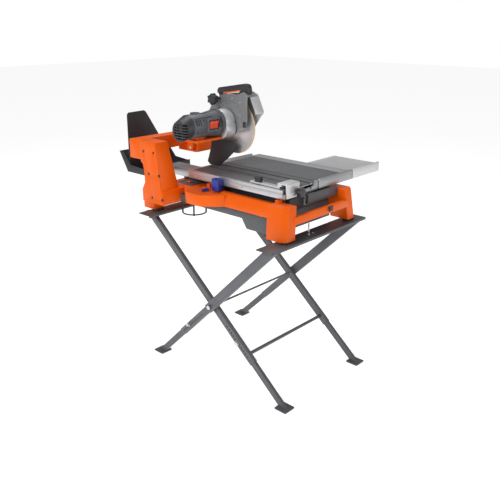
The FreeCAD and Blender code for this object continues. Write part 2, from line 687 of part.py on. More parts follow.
def table_latch():
    """The blue block that is pushed in against the table's left rail."""
    block = box(-200, -168, 22, 66, WALL_TOP + 0.5, WALL_TOP + 58)
    return round_edges(block, 6, (1, 0, 0))


def roller(x, y):
    """A table roller, bored for its axle."""
    return ring((x, y, ROLLER_Z), "x", ROLLER_RADIUS, ROLLER_AXLE + ROLLER_FIT, ROLLER_WIDTH)


ROLLER_Z = TABLE_TOP - RAIL_HEIGHT - ROLLER_RADIUS - 0.8
ROLLER_XS = (-138.0, mirrored(-138.0 + ROLLER_WIDTH))


def roller_axles():
    """The four roller pins, each with its lug on a side wall."""
    pieces = []
    for y in ROLLER_YS:
        for side in (-1, 1):
            start = -158.0 if side < 0 else mirrored(-158.0) - 42
            lug_x = -168.0 if side < 0 else mirrored(-168.0) - 26
            pin = rod((start, y, ROLLER_Z), "x", ROLLER_AXLE, 42)
            lug = box(lug_x, lug_x + 26, y - 9, y + 9, WALL_TOP - 2, ROLLER_Z + 7)
            pieces.append(fuse(pin, lug))
    return pieces


def base_parts():
    """The base casting with the pan, column, arm, tray, guides and locks."""
    parts = {
        "base_frame": base_frame(),
        "column_base": column_base(),
        "column_cover": column_cover(),
        "cover_screws": cover_screws(),
        "arm": arm(),
        "water_pan": water_pan(),
        "pan_ring": pan_ring(),
        "water_pump": water_pump(),
        "rear_tray": rear_tray(),
        "splash_guard": splash_guard(),
        "guide_beam": guide_beam(),
        "beam_end_plate": beam_end_plate(),
        "guide_liner": group(guide_liner(), rear_carrier()),
        "base_feet": base_feet(),
        "lock_lever": lock_lever(),
        "table_latch": table_latch(),
    }
    for row, y in zip(("front", "rear"), ROLLER_YS):
        for side, x in zip(("left", "right"), ROLLER_XS):
            parts["roller_%s_%s" % (row, side)] = roller(x, y)
    return parts


# ---------------------------------------------------------------- table

RAIL_BOTTOM = TABLE_TOP - RAIL_HEIGHT
PLATE_TOP = TABLE_TOP - MAT_THICK
BODY_REAR = TABLE_REAR - 16.0


def table_rail(side):
    """A side rail: an upright with a flange inward that the rollers carry."""
    x0 = TABLE_LEFT if side < 0 else TABLE_RIGHT - RAIL_WIDTH
    upright = box(x0, x0 + RAIL_WIDTH, TABLE_FRONT + APRON_THICK, TABLE_REAR, RAIL_BOTTOM, TABLE_TOP)
    if side < 0:
        flange = box(x0, x0 + RAIL_FLANGE, TABLE_FRONT + APRON_THICK, TABLE_REAR, RAIL_BOTTOM,
                     RAIL_BOTTOM + 3)
    else:
        flange = box(ROLLER_XS[1] - 3, x0 + RAIL_WIDTH, TABLE_FRONT + APRON_THICK, TABLE_REAR,
                     RAIL_BOTTOM, RAIL_BOTTOM + 3)
        top = box(MAT_RIGHT, x0, TABLE_FRONT + APRON_THICK, TABLE_REAR, PLATE_TOP, TABLE_TOP)
        step = box(MAT_RIGHT, MAT_RIGHT + 4, TABLE_FRONT + APRON_THICK, TABLE_REAR, RAIL_BOTTOM + 3,
                   PLATE_TOP)
        upright = upright.fuse(top).fuse(step)
        for share in (-1, 1):
            y = rod_y(share)
            upright = upright.cut(rod((MAT_RIGHT - 1, y, ROD_Z), "x", ROD_RADIUS + ROD_FIT,
                                      TABLE_RIGHT - MAT_RIGHT + 2))
    groove = box(x0 - 1, x0 + 1.2, TABLE_FRONT, TABLE_REAR + 1, TABLE_TOP - 14, TABLE_TOP - 10)
    return cut(fuse(upright, flange), groove)


ROD_Z = TABLE_TOP - 21.0


def rod_y(share):
    """Where a rod of the extension lies: the front one or the rear one."""
    middle = TABLE_FRONT + EXTENSION_DEPTH / 2
    return middle + share * (EXTENSION_DEPTH / 2 - ROD_INSET)


def table_plate():
    """The table's plate, with the slot that the blade passes along."""
    plate = box(TABLE_LEFT + RAIL_WIDTH, MAT_RIGHT, TABLE_FRONT + APRON_THICK, BODY_REAR,
                PLATE_TOP - PLATE_THICK, PLATE_TOP)
    slot = box(BLADE_X - SLOT_WIDTH / 2, BLADE_X + SLOT_WIDTH / 2,
               TABLE_FRONT + APRON_THICK - 1, BODY_REAR - 14, PLATE_TOP - PLATE_THICK - 1, PLATE_TOP + 1)
    return cut(plate, slot)


def table_mats():
    """The rubber mats, parted at the blade slot and at the groove on either side."""
    edges = [TABLE_LEFT + RAIL_WIDTH]
    for centre, width in ((BLADE_X + GROOVE_OFFSETS[0], GROOVE_WIDTH), (BLADE_X, SLOT_WIDTH),
                          (BLADE_X + GROOVE_OFFSETS[1], GROOVE_WIDTH)):
        edges += [centre - width / 2, centre + width / 2]
    edges.append(MAT_RIGHT)
    return group(*[box(edges[i], edges[i + 1], TABLE_FRONT + APRON_THICK, BODY_REAR, PLATE_TOP, TABLE_TOP)
                   for i in range(0, len(edges), 2)])


def front_apron():
    """The fence plate along the table's front edge."""
    outline = [(APRON_LEFT, RAIL_BOTTOM), (TABLE_RIGHT, RAIL_BOTTOM), (TABLE_RIGHT, TABLE_TOP + APRON_RISE),
               (APRON_LEFT + 8, TABLE_TOP + APRON_RISE), (APRON_LEFT, TABLE_TOP + APRON_RISE - 8)]
    return prism_y(outline, TABLE_FRONT, TABLE_FRONT + APRON_THICK)


def notch_block():
    """The end plate at the blade slot, with a notch on the cutting line."""
    left = NOTCH_BLOCK_LEFT
    right = APRON_LEFT - 5
    top = TABLE_TOP + APRON_RISE - 2
    notch = BLADE_X
    outline = [(TABLE_LEFT, RAIL_BOTTOM), (right, RAIL_BOTTOM), (right, top), (notch + 34, top),
               (notch + 20, top - 22), (notch + 5, top - 22), (notch + 5, top - 32), (notch - 5, top - 32),
               (notch - 5, top - 22), (left, top - 24), (TABLE_LEFT, top - 24)]
    return prism_y(outline, TABLE_FRONT, TABLE_FRONT + APRON_THICK)


def rear_fence():
    """The raised fence at the table's rear edge."""
    x0 = TABLE_LEFT + RAIL_WIDTH
    base = box(x0, TABLE_RIGHT - RAIL_WIDTH, BODY_REAR, TABLE_REAR, PLATE_TOP - PLATE_THICK,
               TABLE_TOP)
    base = base.cut(box(BLADE_X - SLOT_WIDTH, BLADE_X + SLOT_WIDTH, BODY_REAR - 1, TABLE_REAR - 6,
                        PLATE_TOP - 10, TABLE_TOP + 1))
    base = base.cut(box(MAT_RIGHT, TABLE_RIGHT, BODY_REAR - 1, TABLE_REAR + 1, PLATE_TOP - 10,
                        TABLE_TOP + 1))
    rise = box(REAR_FENCE_LEFT, MAT_RIGHT, TABLE_REAR - 8, TABLE_REAR, PLATE_TOP, TABLE_TOP + REAR_FENCE_RISE)
    return fuse(base, rise)


RIP_SCREW_X = RIP_LEFT + RIP_WIDTH - 14


def rip_guide():
    """The saddle of the rip guide over the front fence, with its slotted arm."""
    x0, x1 = RIP_LEFT, RIP_LEFT + RIP_WIDTH
    outside = TABLE_FRONT - RIP_GAP - RIP_SHEET
    front = box(x0, x1, outside, outside + RIP_SHEET, RAIL_BOTTOM + 1, RIP_TOP)
    top = box(x0, x1, outside, TABLE_FRONT + 46, RIP_TOP - 15, RIP_TOP)
    rear = box(x0, x1, TABLE_FRONT + 34, TABLE_FRONT + 46, TABLE_TOP + RIP_GAP, RIP_TOP)
    saddle = round_edges(fuse(front, top, rear), 5, (1, 0, 0), lambda c: c.z > RIP_TOP - 1)
    window = box(x0 - 1, x0 + 30, TABLE_FRONT, TABLE_FRONT + 24, RIP_TOP - 16, RIP_TOP - 6)
    arm_bar = box(x0, x0 + 24, TABLE_FRONT + 40, TABLE_FRONT + 205,
                  TABLE_TOP + RIP_GAP, TABLE_TOP + RIP_GAP + 8)
    slot = box(x0 + 8, x0 + 16, TABLE_FRONT + 56, TABLE_FRONT + 190, TABLE_TOP, TABLE_TOP + 20)
    bore = rod((RIP_SCREW_X, outside - 1, RIP_SCREW_Z), "y", 4.05, RIP_SHEET + 2)
    return cut(fuse(saddle.cut(window), arm_bar), slot, bore)


def guide_knob():
    """The knob that clamps the rip guide to the front fence."""
    tip = TABLE_FRONT - 0.3
    screw = rod((RIP_SCREW_X, tip - 18, RIP_SCREW_Z), "y", 4, 18)
    knob = lobed_knob((RIP_SCREW_X, tip - 38, RIP_SCREW_Z), "y", KNOB_RADIUS, 22)
    return fuse(knob, screw)


def stop_block():
    """The stop that slides in the guide's slotted arm."""
    x0 = RIP_LEFT + 2
    low = TABLE_TOP + RIP_GAP + 8.4
    y0 = TABLE_FRONT + 150
    foot = box(RIP_LEFT + 8.4, RIP_LEFT + 15.6, y0 + 6, y0 + 22, low - 6, low)
    return fuse(box(x0, x0 + 20, y0, y0 + 28, low, low + 6), foot)


def stop_knob():
    """The black knob on the stop."""
    return lobed_knob((RIP_LEFT + 12, TABLE_FRONT + 164, TABLE_TOP + RIP_GAP + 14.4), "z", 19, 16)


def extension_table():
    """The ribbed side table with its front fence."""
    x0 = TABLE_RIGHT + EXTENSION_GAP
    x1 = x0 + EXTENSION_WIDTH
    y1 = TABLE_FRONT + EXTENSION_DEPTH
    top = box(x0, x1, TABLE_FRONT, y1, TABLE_TOP - 5, TABLE_TOP)
    fence = box(x0, x1, TABLE_FRONT, TABLE_FRONT + APRON_THICK, RAIL_BOTTOM, TABLE_TOP + APRON_RISE)
    rims = [box(x0, x1, y1 - 4, y1, RAIL_BOTTOM, TABLE_TOP),
            box(x0, x0 + 4, TABLE_FRONT, y1, RAIL_BOTTOM, TABLE_TOP),
            box(x1 - 4, x1, TABLE_FRONT, y1, RAIL_BOTTOM, TABLE_TOP)]
    whole = fuse(top, fence, *rims)
    count = int((EXTENSION_DEPTH - 30) / RIB_PITCH)
    grooves = [box(x0 + 6, x1 - 6, TABLE_FRONT + 20 + i * RIB_PITCH, TABLE_FRONT + 26 + i * RIB_PITCH,
                   TABLE_TOP - 1.5, TABLE_TOP + 1) for i in range(count)]
    bores = [rod((x0 - 1, rod_y(share), ROD_Z), "x", ROD_RADIUS, 5.5) for share in (-1, 1)]
    return cut(whole, *grooves, *bores)


def extension_rods():
    """Two bars that carry the side table and slide in the main table."""
    x1 = TABLE_RIGHT + EXTENSION_GAP + 4
    return group(*[rod((x1 - ROD_OVERLAP, rod_y(share), ROD_Z), "x", ROD_RADIUS, ROD_OVERLAP + 60)
                   for share in (-1, 1)])


def table_parts():
    """The sliding table, the rip guide and the side table."""
    return {
        "table_rails": group(table_rail(-1), table_rail(1)),
        "table_plate": table_plate(),
        "table_mats": table_mats(),
        "front_apron": group(front_apron(), notch_block()),
        "rear_fence": rear_fence(),
        "rip_guide": rip_guide(),
        "guide_knob": guide_knob(),
        "rip_stop": fuse(stop_block(), stop_knob()),
        "extension_table": extension_table(),
        "extension_rods": extension_rods(),
    }


# ---------------------------------------------------------------- head

def motor_round(x, radius, length):
    """A round bar on the motor's axis."""
    return rod((x, MOTOR_Y, MOTOR_Z), "x", radius, length)


def motor_housing():
    """The motor's shell with its mounting flange and air slots."""
    x0 = MOTOR_LEFT + TAIL_LENGTH
    shell = motor_round(x0, MOTOR_RADIUS, MOTOR_RIGHT - x0)
    shell = shell.fuse(Part.makeCone(MOTOR_RADIUS, FLANGE_RADIUS, 60,
                                     V(MOTOR_RIGHT - FLANGE_LENGTH - 60, MOTOR_Y, MOTOR_Z), V(1, 0, 0)))
    shell = shell.fuse(motor_round(MOTOR_RIGHT - FLANGE_LENGTH, FLANGE_RADIUS, FLANGE_LENGTH))
    shell = shell.cut(motor_round(x0 - 1, MOTOR_RADIUS - HOUSING_WALL, MOTOR_RIGHT - x0 + 2))
    slots = [box(x0 + 14 + i * 12, x0 + 19 + i * 12, MOTOR_Y - 80, MOTOR_Y, MOTOR_Z + 8, MOTOR_Z + 34)
             for i in range(3)]
    well = box(SWITCH[0] - 0.6, SWITCH[1] + 0.6, MOTOR_Y - 80, MOTOR_Y - 30, SWITCH[2] - 0.6, SWITCH[3] + 0.6)
    return cut(shell, *slots, well)


SWITCH_Y = MOTOR_Y - MOTOR_RADIUS - 3.0


def switch_rocker():
    """The red rocker, split by a ridge, that tips about a pin along X."""
    x0, x1, low, high = SWITCH
    middle = (low + high) / 2
    outline = [(SWITCH_Y - 8, high - 5), (SWITCH_Y - 3, middle), (SWITCH_Y, low + 5),
               (SWITCH_Y + 4, low + 6), (SWITCH_Y + 4, high - 6)]
    return prism_x(outline, x0 + 5, x1 - 5)


def tail_loft(x0, x1, radius0, radius1, drop):
    """A skewed cone along X whose narrow end hangs below the motor's axis."""
    rings = [Part.Wire(Part.makeCircle(radius, V(x, MOTOR_Y, MOTOR_Z - fall), V(1, 0, 0)))
             for x, radius, fall in ((x0, radius0, drop), (x1, radius1, 0))]
    return Part.makeLoft(rings, True, True)


def tail_cap():
    """The slotted cap over the motor's tail, with the rear bearing's seat."""
    end = MOTOR_LEFT + TAIL_LENGTH - 0.2
    shell = tail_loft(MOTOR_LEFT, end, TAIL_RADIUS, MOTOR_RADIUS, TAIL_DROP)
    shell = shell.cut(tail_loft(MOTOR_LEFT + HOUSING_WALL, end + 0.01, TAIL_RADIUS - HOUSING_WALL,
                                MOTOR_RADIUS - HOUSING_WALL, TAIL_DROP))
    middle = MOTOR_Z - TAIL_DROP
    slots = [box(MOTOR_LEFT - 1, MOTOR_LEFT + 14, MOTOR_Y - 60, MOTOR_Y + half, middle + z, middle + z + 6)
             for z, half in ((26, 22), (14, 30), (2, 34), (-10, 34), (-22, 30), (-34, 22))]
    seat = ring((MOTOR_LEFT + HOUSING_WALL + 2, MOTOR_Y, MOTOR_Z), "x", 19, 15, 14)
    spokes = [box(MOTOR_LEFT + 1, MOTOR_LEFT + HOUSING_WALL + 6, MOTOR_Y + dy - 2, MOTOR_Y + dy + 2,
                  MOTOR_Z - TAIL_DROP - 42, MOTOR_Z + 26) for dy in (-17, 17)]
    return fuse(cut(shell, *slots), *spokes, seat)


TAIL_BEARING_X = MOTOR_LEFT + HOUSING_WALL + 5.0
DRIVE_BEARING_X = MOTOR_RIGHT - 12.0
ARBOR_BEARING_X = GEARCASE_RIGHT - BEARING_WIDTH


def bearings():
    """The motor's two bearings and the arbor's bearing, as closed rings."""
    return group(
        ring((TAIL_BEARING_X, MOTOR_Y, MOTOR_Z), "x", 15, SHAFT_RADIUS + SHAFT_FIT, BEARING_WIDTH),
        ring((DRIVE_BEARING_X, MOTOR_Y, MOTOR_Z), "x", 15, SHAFT_RADIUS + SHAFT_FIT, BEARING_WIDTH),
        ring((ARBOR_BEARING_X, BLADE_Y, BLADE_Z), "x", 19, ARBOR_RADIUS + SHAFT_FIT, BEARING_WIDTH))


STATOR_RADIUS = MOTOR_RADIUS - HOUSING_WALL
STATOR_BORE = STATOR_RADIUS - STATOR_WALL
ROTOR_RADIUS = STATOR_BORE - POLE_DEPTH
FAN_RADIUS = STATOR_RADIUS - FAN_GAP


def stator():
    """The motor's stator: a ring of iron with two pole blocks."""
    left = MOTOR_LEFT + 80
    iron = ring((left, MOTOR_Y, MOTOR_Z), "x", STATOR_RADIUS, STATOR_BORE, 80)
    pole_z = STATOR_BORE - 2
    poles = [box(left, left + 80, MOTOR_Y - 18, MOTOR_Y + 18,
                 MOTOR_Z + sign * pole_z - 5, MOTOR_Z + sign * pole_z + 5)
             for sign in (-1, 1)]
    core = motor_round(left - 1, ROTOR_RADIUS + AIR_GAP, 82)
    return cut(fuse(iron, *poles), core)


def rotor():
    """The armature shaft with its core, commutator and pinion."""
    shaft = motor_round(MOTOR_LEFT + 10, SHAFT_RADIUS, GEAR_LEFT + GEAR_WIDTH + 4 - MOTOR_LEFT - 10)
    core = motor_round(MOTOR_LEFT + 76, ROTOR_RADIUS, 88)
    commutator = motor_round(MOTOR_LEFT + 40, 15, 26)
    pinion = toothed_wheel(PINION_TEETH, GEAR_WIDTH, SHAFT_RADIUS, PINION_PHASE)
    pinion.translate(V(GEAR_LEFT, MOTOR_Y, MOTOR_Z))
    return fuse(shaft, core, commutator, pinion, cooling_fan())


LINE_ANGLE = degrees(atan2(MOTOR_Z - BLADE_Z, MOTOR_Y - BLADE_Y))
WHEEL_PHASE = LINE_ANGLE - 90.0
PINION_PHASE = LINE_ANGLE + 90.0 + 180.0 / PINION_TEETH


def cooling_fan():
    """The fan on the rotor behind the drive bearing."""
    hub = ring((MOTOR_RIGHT - 38, MOTOR_Y, MOTOR_Z), "x", 14, SHAFT_RADIUS, 14)
    disc = ring((MOTOR_RIGHT - 26, MOTOR_Y, MOTOR_Z), "x", FAN_RADIUS, SHAFT_RADIUS, 2.4)
    blades = []
    for index in range(9):
        blade = box(MOTOR_RIGHT - 36, MOTOR_RIGHT - 24, MOTOR_Y - 1, MOTOR_Y + 1, MOTOR_Z + 12,
                    MOTOR_Z + FAN_RADIUS - 1)
        blade.rotate(V(0, MOTOR_Y, MOTOR_Z), V(1, 0, 0), index * 40)
        blades.append(blade)
    return fuse(hub, disc, *blades)


def gear_housing():
    """The gear case between motor and guard, with its bearing seats."""
    left = MOTOR_RIGHT
    length = GEARCASE_RIGHT - left
    hull_axes = ((MOTOR_Y, MOTOR_Z, FLANGE_RADIUS - 2), (BLADE_Y, BLADE_Z, 44.0))
    outer = fuse(*[rod((left, y, z), "x", radius, length) for y, z, radius in hull_axes])
    inner = fuse(*[rod((left + 4, y, z), "x", radius - 5, length - 8) for y, z, radius in hull_axes])
    case = outer.cut(inner)
    seat = ring((DRIVE_BEARING_X, MOTOR_Y, MOTOR_Z), "x", 19, 15, left - DRIVE_BEARING_X + 4)
    case = case.cut(motor_round(left - 1, 15, 6)).fuse(seat)
    case = case.fuse(ring((ARBOR_BEARING_X, BLADE_Y, BLADE_Z), "x", 23, 19, BEARING_WIDTH))
    return cut(case, rod((GEARCASE_RIGHT - 6, BLADE_Y, BLADE_Z), "x", 19, 8))


BLADE_LEFT = BLADE_X - BLADE_THICK / 2


def arbor():
    """The arbor with its gear and its inner flange."""
    shaft = rod((-62, BLADE_Y, BLADE_Z), "x", ARBOR_RADIUS, BLADE_X + 22 + 62)
    wheel = toothed_wheel(WHEEL_TEETH, GEAR_WIDTH, ARBOR_RADIUS, WHEEL_PHASE)
    wheel.translate(V(GEAR_LEFT, BLADE_Y, BLADE_Z))
    flange = ring((BLADE_LEFT - 10, BLADE_Y, BLADE_Z), "x", 26, ARBOR_RADIUS, 10)
    return fuse(shaft, wheel, flange)


def arbor_nut():
    """The outer flange and the hexagon nut."""
    flange = ring((BLADE_LEFT + BLADE_THICK, BLADE_Y, BLADE_Z), "x", 26, ARBOR_RADIUS, 7)
    corners = [(BLADE_Y + 15 * cos(i * pi / 3), BLADE_Z + 15 * sin(i * pi / 3)) for i in range(6)]
    nut = prism_x(corners, BLADE_LEFT + BLADE_THICK + 7, BLADE_LEFT + BLADE_THICK + 17)
    return cut(fuse(flange, nut), rod((BLADE_LEFT, BLADE_Y, BLADE_Z), "x", ARBOR_RADIUS, 30))


def blade():
    """The diamond blade: a steel disc with a thicker continuous rim."""
    disc = ring((BLADE_LEFT + 0.3, BLADE_Y, BLADE_Z), "x", BLADE_RADIUS - RIM_DEPTH, ARBOR_RADIUS,
                BLADE_THICK - 0.6)
    hub = ring((BLADE_LEFT, BLADE_Y, BLADE_Z), "x", 27, ARBOR_RADIUS, BLADE_THICK)
    rim = ring((BLADE_LEFT, BLADE_Y, BLADE_Z), "x", BLADE_RADIUS, BLADE_RADIUS - RIM_DEPTH - 0.2, BLADE_THICK)
    return fuse(disc, hub, rim)


def guard_outline(inset):
    """The guard seen from the side: round above with a shoulder in front, open below and in front."""
    points = [(205, 1092), (100, 1120), (34, 1152), (20 + inset, 1190), (18 + inset, 1300 - inset),
              (44, 1316 - inset), (78, 1304 - inset)]
    radius = GUARD_RADIUS - inset
    start, end = radians(105), radians(-18)
    steps = 14
    for step in range(steps + 1):
        angle = start + (end - start) * step / steps
        points.append((BLADE_Y + radius * cos(angle), BLADE_Z + radius * sin(angle)))
    return points


def guard_shell():
    """The guard's left side and rim in one piece, open below and in front."""
    whole = prism_x(guard_outline(0), GUARD_LEFT, GUARD_RIGHT - GUARD_WALL)
    inner = prism_x(guard_outline(GUARD_WALL), GUARD_LEFT + GUARD_WALL, GUARD_RIGHT)
    opening = prism_x([(260, 1060), (-60, 1060), (-60, 1296), (30, 1296), (100, 1126), (205, 1098)],
                      GUARD_LEFT + GUARD_WALL, GUARD_RIGHT + 1)
    shell = whole.cut(inner).cut(opening)
    shell = shell.cut(rod((GUARD_LEFT - 1, BLADE_Y, BLADE_Z), "x", 30, 12))
    mouth = box(BLADE_X - 14, BLADE_X + 14, 150, 264, 1060, 1112)
    return fuse(shell.cut(mouth), flap_hinge())


def guard_cover():
    """The guard's right side plate with the bright visor over the blade's front."""
    front = [(34, 1152), (-12, 1214), (-22, 1222), (-22, 1232), (14, 1305), (44, 1316)]
    plate = prism_x(guard_outline(0), GUARD_RIGHT - GUARD_WALL, GUARD_RIGHT)
    cheek = prism_x(front, GUARD_RIGHT - GUARD_WALL, GUARD_RIGHT)
    visor = prism_x([(-22, 1222), (-22, 1232), (10, 1297), (15.5, 1294.5), (-16, 1230), (-16, 1221)],
                    VISOR_LEFT, GUARD_RIGHT)
    return cut(fuse(plate, cheek, visor), rod((GUARD_RIGHT - 10, BLADE_Y, BLADE_Z), "x", 34, 20))


def guard_handle():
    """The carrying and plunging handle above the guard."""
    x0, x1 = HANDLE_X
    bar = [(226, 1300), (226, 1316), (216, 1326), (60, 1352), (38, 1350), (28, 1338), (28, 1322), (60, 1326)]
    posts = [(28, 1336), (24, 1312), (44, 1300), (96, 1300), (62, 1336)]
    rear = [(224, 1302), (206, 1268), (180, 1280), (186, 1310)]
    whole = fuse(prism_x(bar, x0, x1), prism_x(posts, x0, x1), prism_x(rear, x0 + 4, x1 - 4))
    return cut(whole, prism_x(guard_outline(0), GUARD_LEFT, GUARD_RIGHT))


def handle_grip():
    """The orange underside of the handle."""
    grip = prism_x([(186, 1312), (186, 1299), (150, 1305), (78, 1317), (60, 1330)], HANDLE_X[0], HANDLE_X[1])
    return cut(grip, guard_handle())


def cradle():
    """The casting under the motor that swings on the plunge pin."""
    under = MOTOR_Z - FLANGE_RADIUS
    left = MOTOR_LEFT + TAIL_LENGTH + 26
    plate = prism_z([(left, 116), (MOTOR_RIGHT - 4, 116), (MOTOR_RIGHT - 4, 236), (-30, 236), (-30, 336),
                     (198, 336), (198, 452), (8, 452), (8, 400), (-90, 330), (left, 200)], under - 11, under)
    saddle = box(left + 10, left + 60, 132, 168, under - 1, MOTOR_Z - MOTOR_RADIUS + 2).cut(
        motor_round(left, MOTOR_RADIUS, 400))
    lugs = []
    for x0, x1 in ((8.0, BRACKET_LEFT - 1.0), (175.0, 198.0)):
        lug = box(x0, x1, PIN_Y - 20, PIN_Y + 17, PIN_Z, under)
        lug = lug.fuse(rod((x0, PIN_Y, PIN_Z), "x", 20, x1 - x0))
        lugs.append(lug.cut(rod((x0 - 1, PIN_Y, PIN_Z), "x", PIN_RADIUS, x1 - x0 + 2)))
    return fuse(plate, saddle, plunge_post(), *lugs)


def plunge_pin():
    """The pin that the head swings on."""
    head = rod((198.0, PIN_Y, PIN_Z), "x", 12, 6)
    return fuse(rod((8, PIN_Y, PIN_Z), "x", PIN_RADIUS - 0.05, 190), head)


def plunge_spring():
    """The spacer sleeve on the pin between bracket and lug."""
    return ring((ARM_RIGHT + 0.6, PIN_Y, PIN_Z), "x", 15, PIN_RADIUS - 0.05, 24)


FLAP = [(HINGE_Y - 14, HINGE_Z - 6), (HINGE_Y + 8, HINGE_Z - 6), (256, 1026), (277, 968), (258, 955),
        (196, 957), (140, 1000), (88, 1046), (82, 1084)]


def splash_flap():
    """The black rubber flap behind the blade, on its hinge."""
    side = prism_x(FLAP, FLAP_LEFT, FLAP_LEFT + FLAP_SHEET)
    eye = ring((FLAP_LEFT, HINGE_Y, HINGE_Z), "x", 9, 4.1, FLAP_SHEET)
    tab = box(FLAP_LEFT, FLAP_LEFT + FLAP_SHEET, HINGE_Y - 8, HINGE_Y + 8, HINGE_Z - 12, HINGE_Z)
    tab = tab.cut(rod((FLAP_LEFT - 1, HINGE_Y, HINGE_Z), "x", 4.1, 10))
    back = prism_x([(250, 1040), (253, 1041), (279.5, 969), (262, 954), (259, 955), (276, 969)],
                   FLAP_LEFT, BLADE_X + 8)
    return fuse(side, eye, tab, back)


def flap_hinge():
    """The bracket and pin on the gear case that hold the flap."""
    arm_plate = prism_x([(180, 1112), (180, 1124), (HINGE_Y + 8, HINGE_Z + 18), (HINGE_Y + 8, HINGE_Z - 6),
                         (HINGE_Y - 8, HINGE_Z - 6)], FLAP_LEFT + FLAP_SHEET + 0.4, GUARD_LEFT)
    pin = rod((FLAP_LEFT - 3, HINGE_Y, HINGE_Z), "x", 4, 8)
    return fuse(arm_plate, pin, rod((FLAP_LEFT - 3, HINGE_Y, HINGE_Z), "x", 7, 2.6))


def guard_knob(side):
    """A lobed knob with its screw, on one side of the guard."""
    if side < 0:
        knob = lobed_knob((-62, 200, 1278), "x", KNOB_RADIUS + 4, 26)
        screw = rod((-36, 200, 1278), "x", 5, 25.6)
    else:
        knob = lobed_knob((GUARD_RIGHT + 16, 62, 1277), "x", KNOB_RADIUS, 24)
        screw = rod((GUARD_RIGHT + 0.4, 62, 1277), "x", 5, 16)
    return fuse(knob, screw)


def plunge_knob():
    """The knob that locks the head's height, on a post of the cradle."""
    return lobed_knob((-128, 240, 1202), "z", KNOB_RADIUS + 2, 18)


def plunge_post():
    """The post under the height lock."""
    return rod((-128, 240, MOTOR_Z - FLANGE_RADIUS), "z", 7, 85.9)


def head_parts():
    """The motor, gear case, blade and guard on the swinging cradle."""
    return {
        "cradle": cradle(),
        "plunge_pin": fuse(plunge_pin(), plunge_spring()),
        "plunge_knob": plunge_knob(),
        "motor_housing": motor_housing(),
        "tail_cap": tail_cap(),
        "bearings": bearings(),
        "stator": stator(),
        "rotor": rotor(),
        "switch_rocker": switch_rocker(),
        "gear_housing": gear_housing(),
        "arbor": arbor(),
        "blade": blade(),
        "arbor_nut": arbor_nut(),
        "guard_shell": guard_shell(),
        "guard_cover": guard_cover(),
        "guard_handle": guard_handle(),
        "handle_grip": handle_grip(),
        "guard_knob_left": guard_knob(-1),
        "guard_knob_right": guard_knob(1),
        "splash_flap": splash_flap(),
    }


if __name__ == "__main__":
    os.makedirs("parts", exist_ok=True)
    every = {**stand_parts(), **base_parts(), **table_parts(), **head_parts()}
    lowest = min(shape.BoundBox.ZMin for shape in every.values())
    boxes = [shape.BoundBox for shape in every.values()]
    middle_x = (min(b.XMin for b in boxes) + max(b.XMax for b in boxes)) / 2
    middle_y = (min(b.YMin for b in boxes) + max(b.YMax for b in boxes)) / 2
    print("origin", round(middle_x, 3), round(middle_y, 3), round(lowest, 3), "pieces", len(every))
    for name, shape in every.items():
        if not shape.isValid() or "--" in name:
            print("bad", name)
        shape.translate(V(-middle_x, -middle_y, -lowest))
        shape.exportStep("parts/" + name + ".step")
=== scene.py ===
"""A wet tile cutter on a folding stand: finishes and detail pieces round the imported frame.

Lengths are metres, +X is the operator's right, +Y points away from the operator and +Z is up.
"""
from __future__ import annotations

import json
import logging
import math
from dataclasses import dataclass, field
from enum import Enum
from typing import Callable, Sequence

import bmesh
import bpy
from mathutils import Matrix, Vector

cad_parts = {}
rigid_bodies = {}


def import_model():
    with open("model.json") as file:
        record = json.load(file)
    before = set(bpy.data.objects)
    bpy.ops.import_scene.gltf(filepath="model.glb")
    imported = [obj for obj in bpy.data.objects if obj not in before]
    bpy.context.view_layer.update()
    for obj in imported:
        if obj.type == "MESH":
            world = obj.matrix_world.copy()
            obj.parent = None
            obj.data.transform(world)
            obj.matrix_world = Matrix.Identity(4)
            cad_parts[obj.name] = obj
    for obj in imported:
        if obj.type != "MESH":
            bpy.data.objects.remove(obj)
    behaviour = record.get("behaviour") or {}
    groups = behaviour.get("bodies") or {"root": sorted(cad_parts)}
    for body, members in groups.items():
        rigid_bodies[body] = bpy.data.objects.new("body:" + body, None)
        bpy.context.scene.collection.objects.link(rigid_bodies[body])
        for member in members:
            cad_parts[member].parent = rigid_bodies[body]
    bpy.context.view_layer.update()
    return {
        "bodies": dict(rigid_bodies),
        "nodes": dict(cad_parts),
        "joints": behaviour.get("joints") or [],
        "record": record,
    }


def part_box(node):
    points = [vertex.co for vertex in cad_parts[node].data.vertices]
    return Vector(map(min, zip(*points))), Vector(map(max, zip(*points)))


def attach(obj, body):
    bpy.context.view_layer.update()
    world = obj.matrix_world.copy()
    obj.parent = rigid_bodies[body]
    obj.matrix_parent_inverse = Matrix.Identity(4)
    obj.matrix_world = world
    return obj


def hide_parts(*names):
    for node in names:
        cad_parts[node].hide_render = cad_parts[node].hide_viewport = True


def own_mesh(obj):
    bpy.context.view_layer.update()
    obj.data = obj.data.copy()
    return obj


LOG = logging.getLogger("tile_cutter")
MM = 0.001
Point = tuple[float, float, float]
Colour = tuple[float, float, float]
BLADE_CENTRE = Vector((0.025, 0.127, 1.150))


class Axis(Enum):
    """An axis of the saw."""

    X = "X"
    Y = "Y"
    Z = "Z"

    def turn(self) -> tuple[float, float, float]:
        """Rotation that brings a cylinder drawn along Z onto this axis."""
        turns = {Axis.X: (0.0, math.pi / 2, 0.0), Axis.Y: (-math.pi / 2, 0.0, 0.0), Axis.Z: (0.0, 0.0, 0.0)}
        return turns[self]

    def vector(self) -> Vector:
        """Unit vector along this axis."""
        return Vector({Axis.X: (1, 0, 0), Axis.Y: (0, 1, 0), Axis.Z: (0, 0, 1)}[self])


# ------------------------------------------------------------------ shader groups

class GroupName(Enum):
    """Names of the shared shader node groups."""

    GRAIN = "surface_grain"
    BRUSH = "brushed_lines"
    # Edge lightening: partly edge wear, partly a painted highlight along edges.
    EDGE = "edge_wear_and_highlight"
    RIBS = "moulded_ribs"


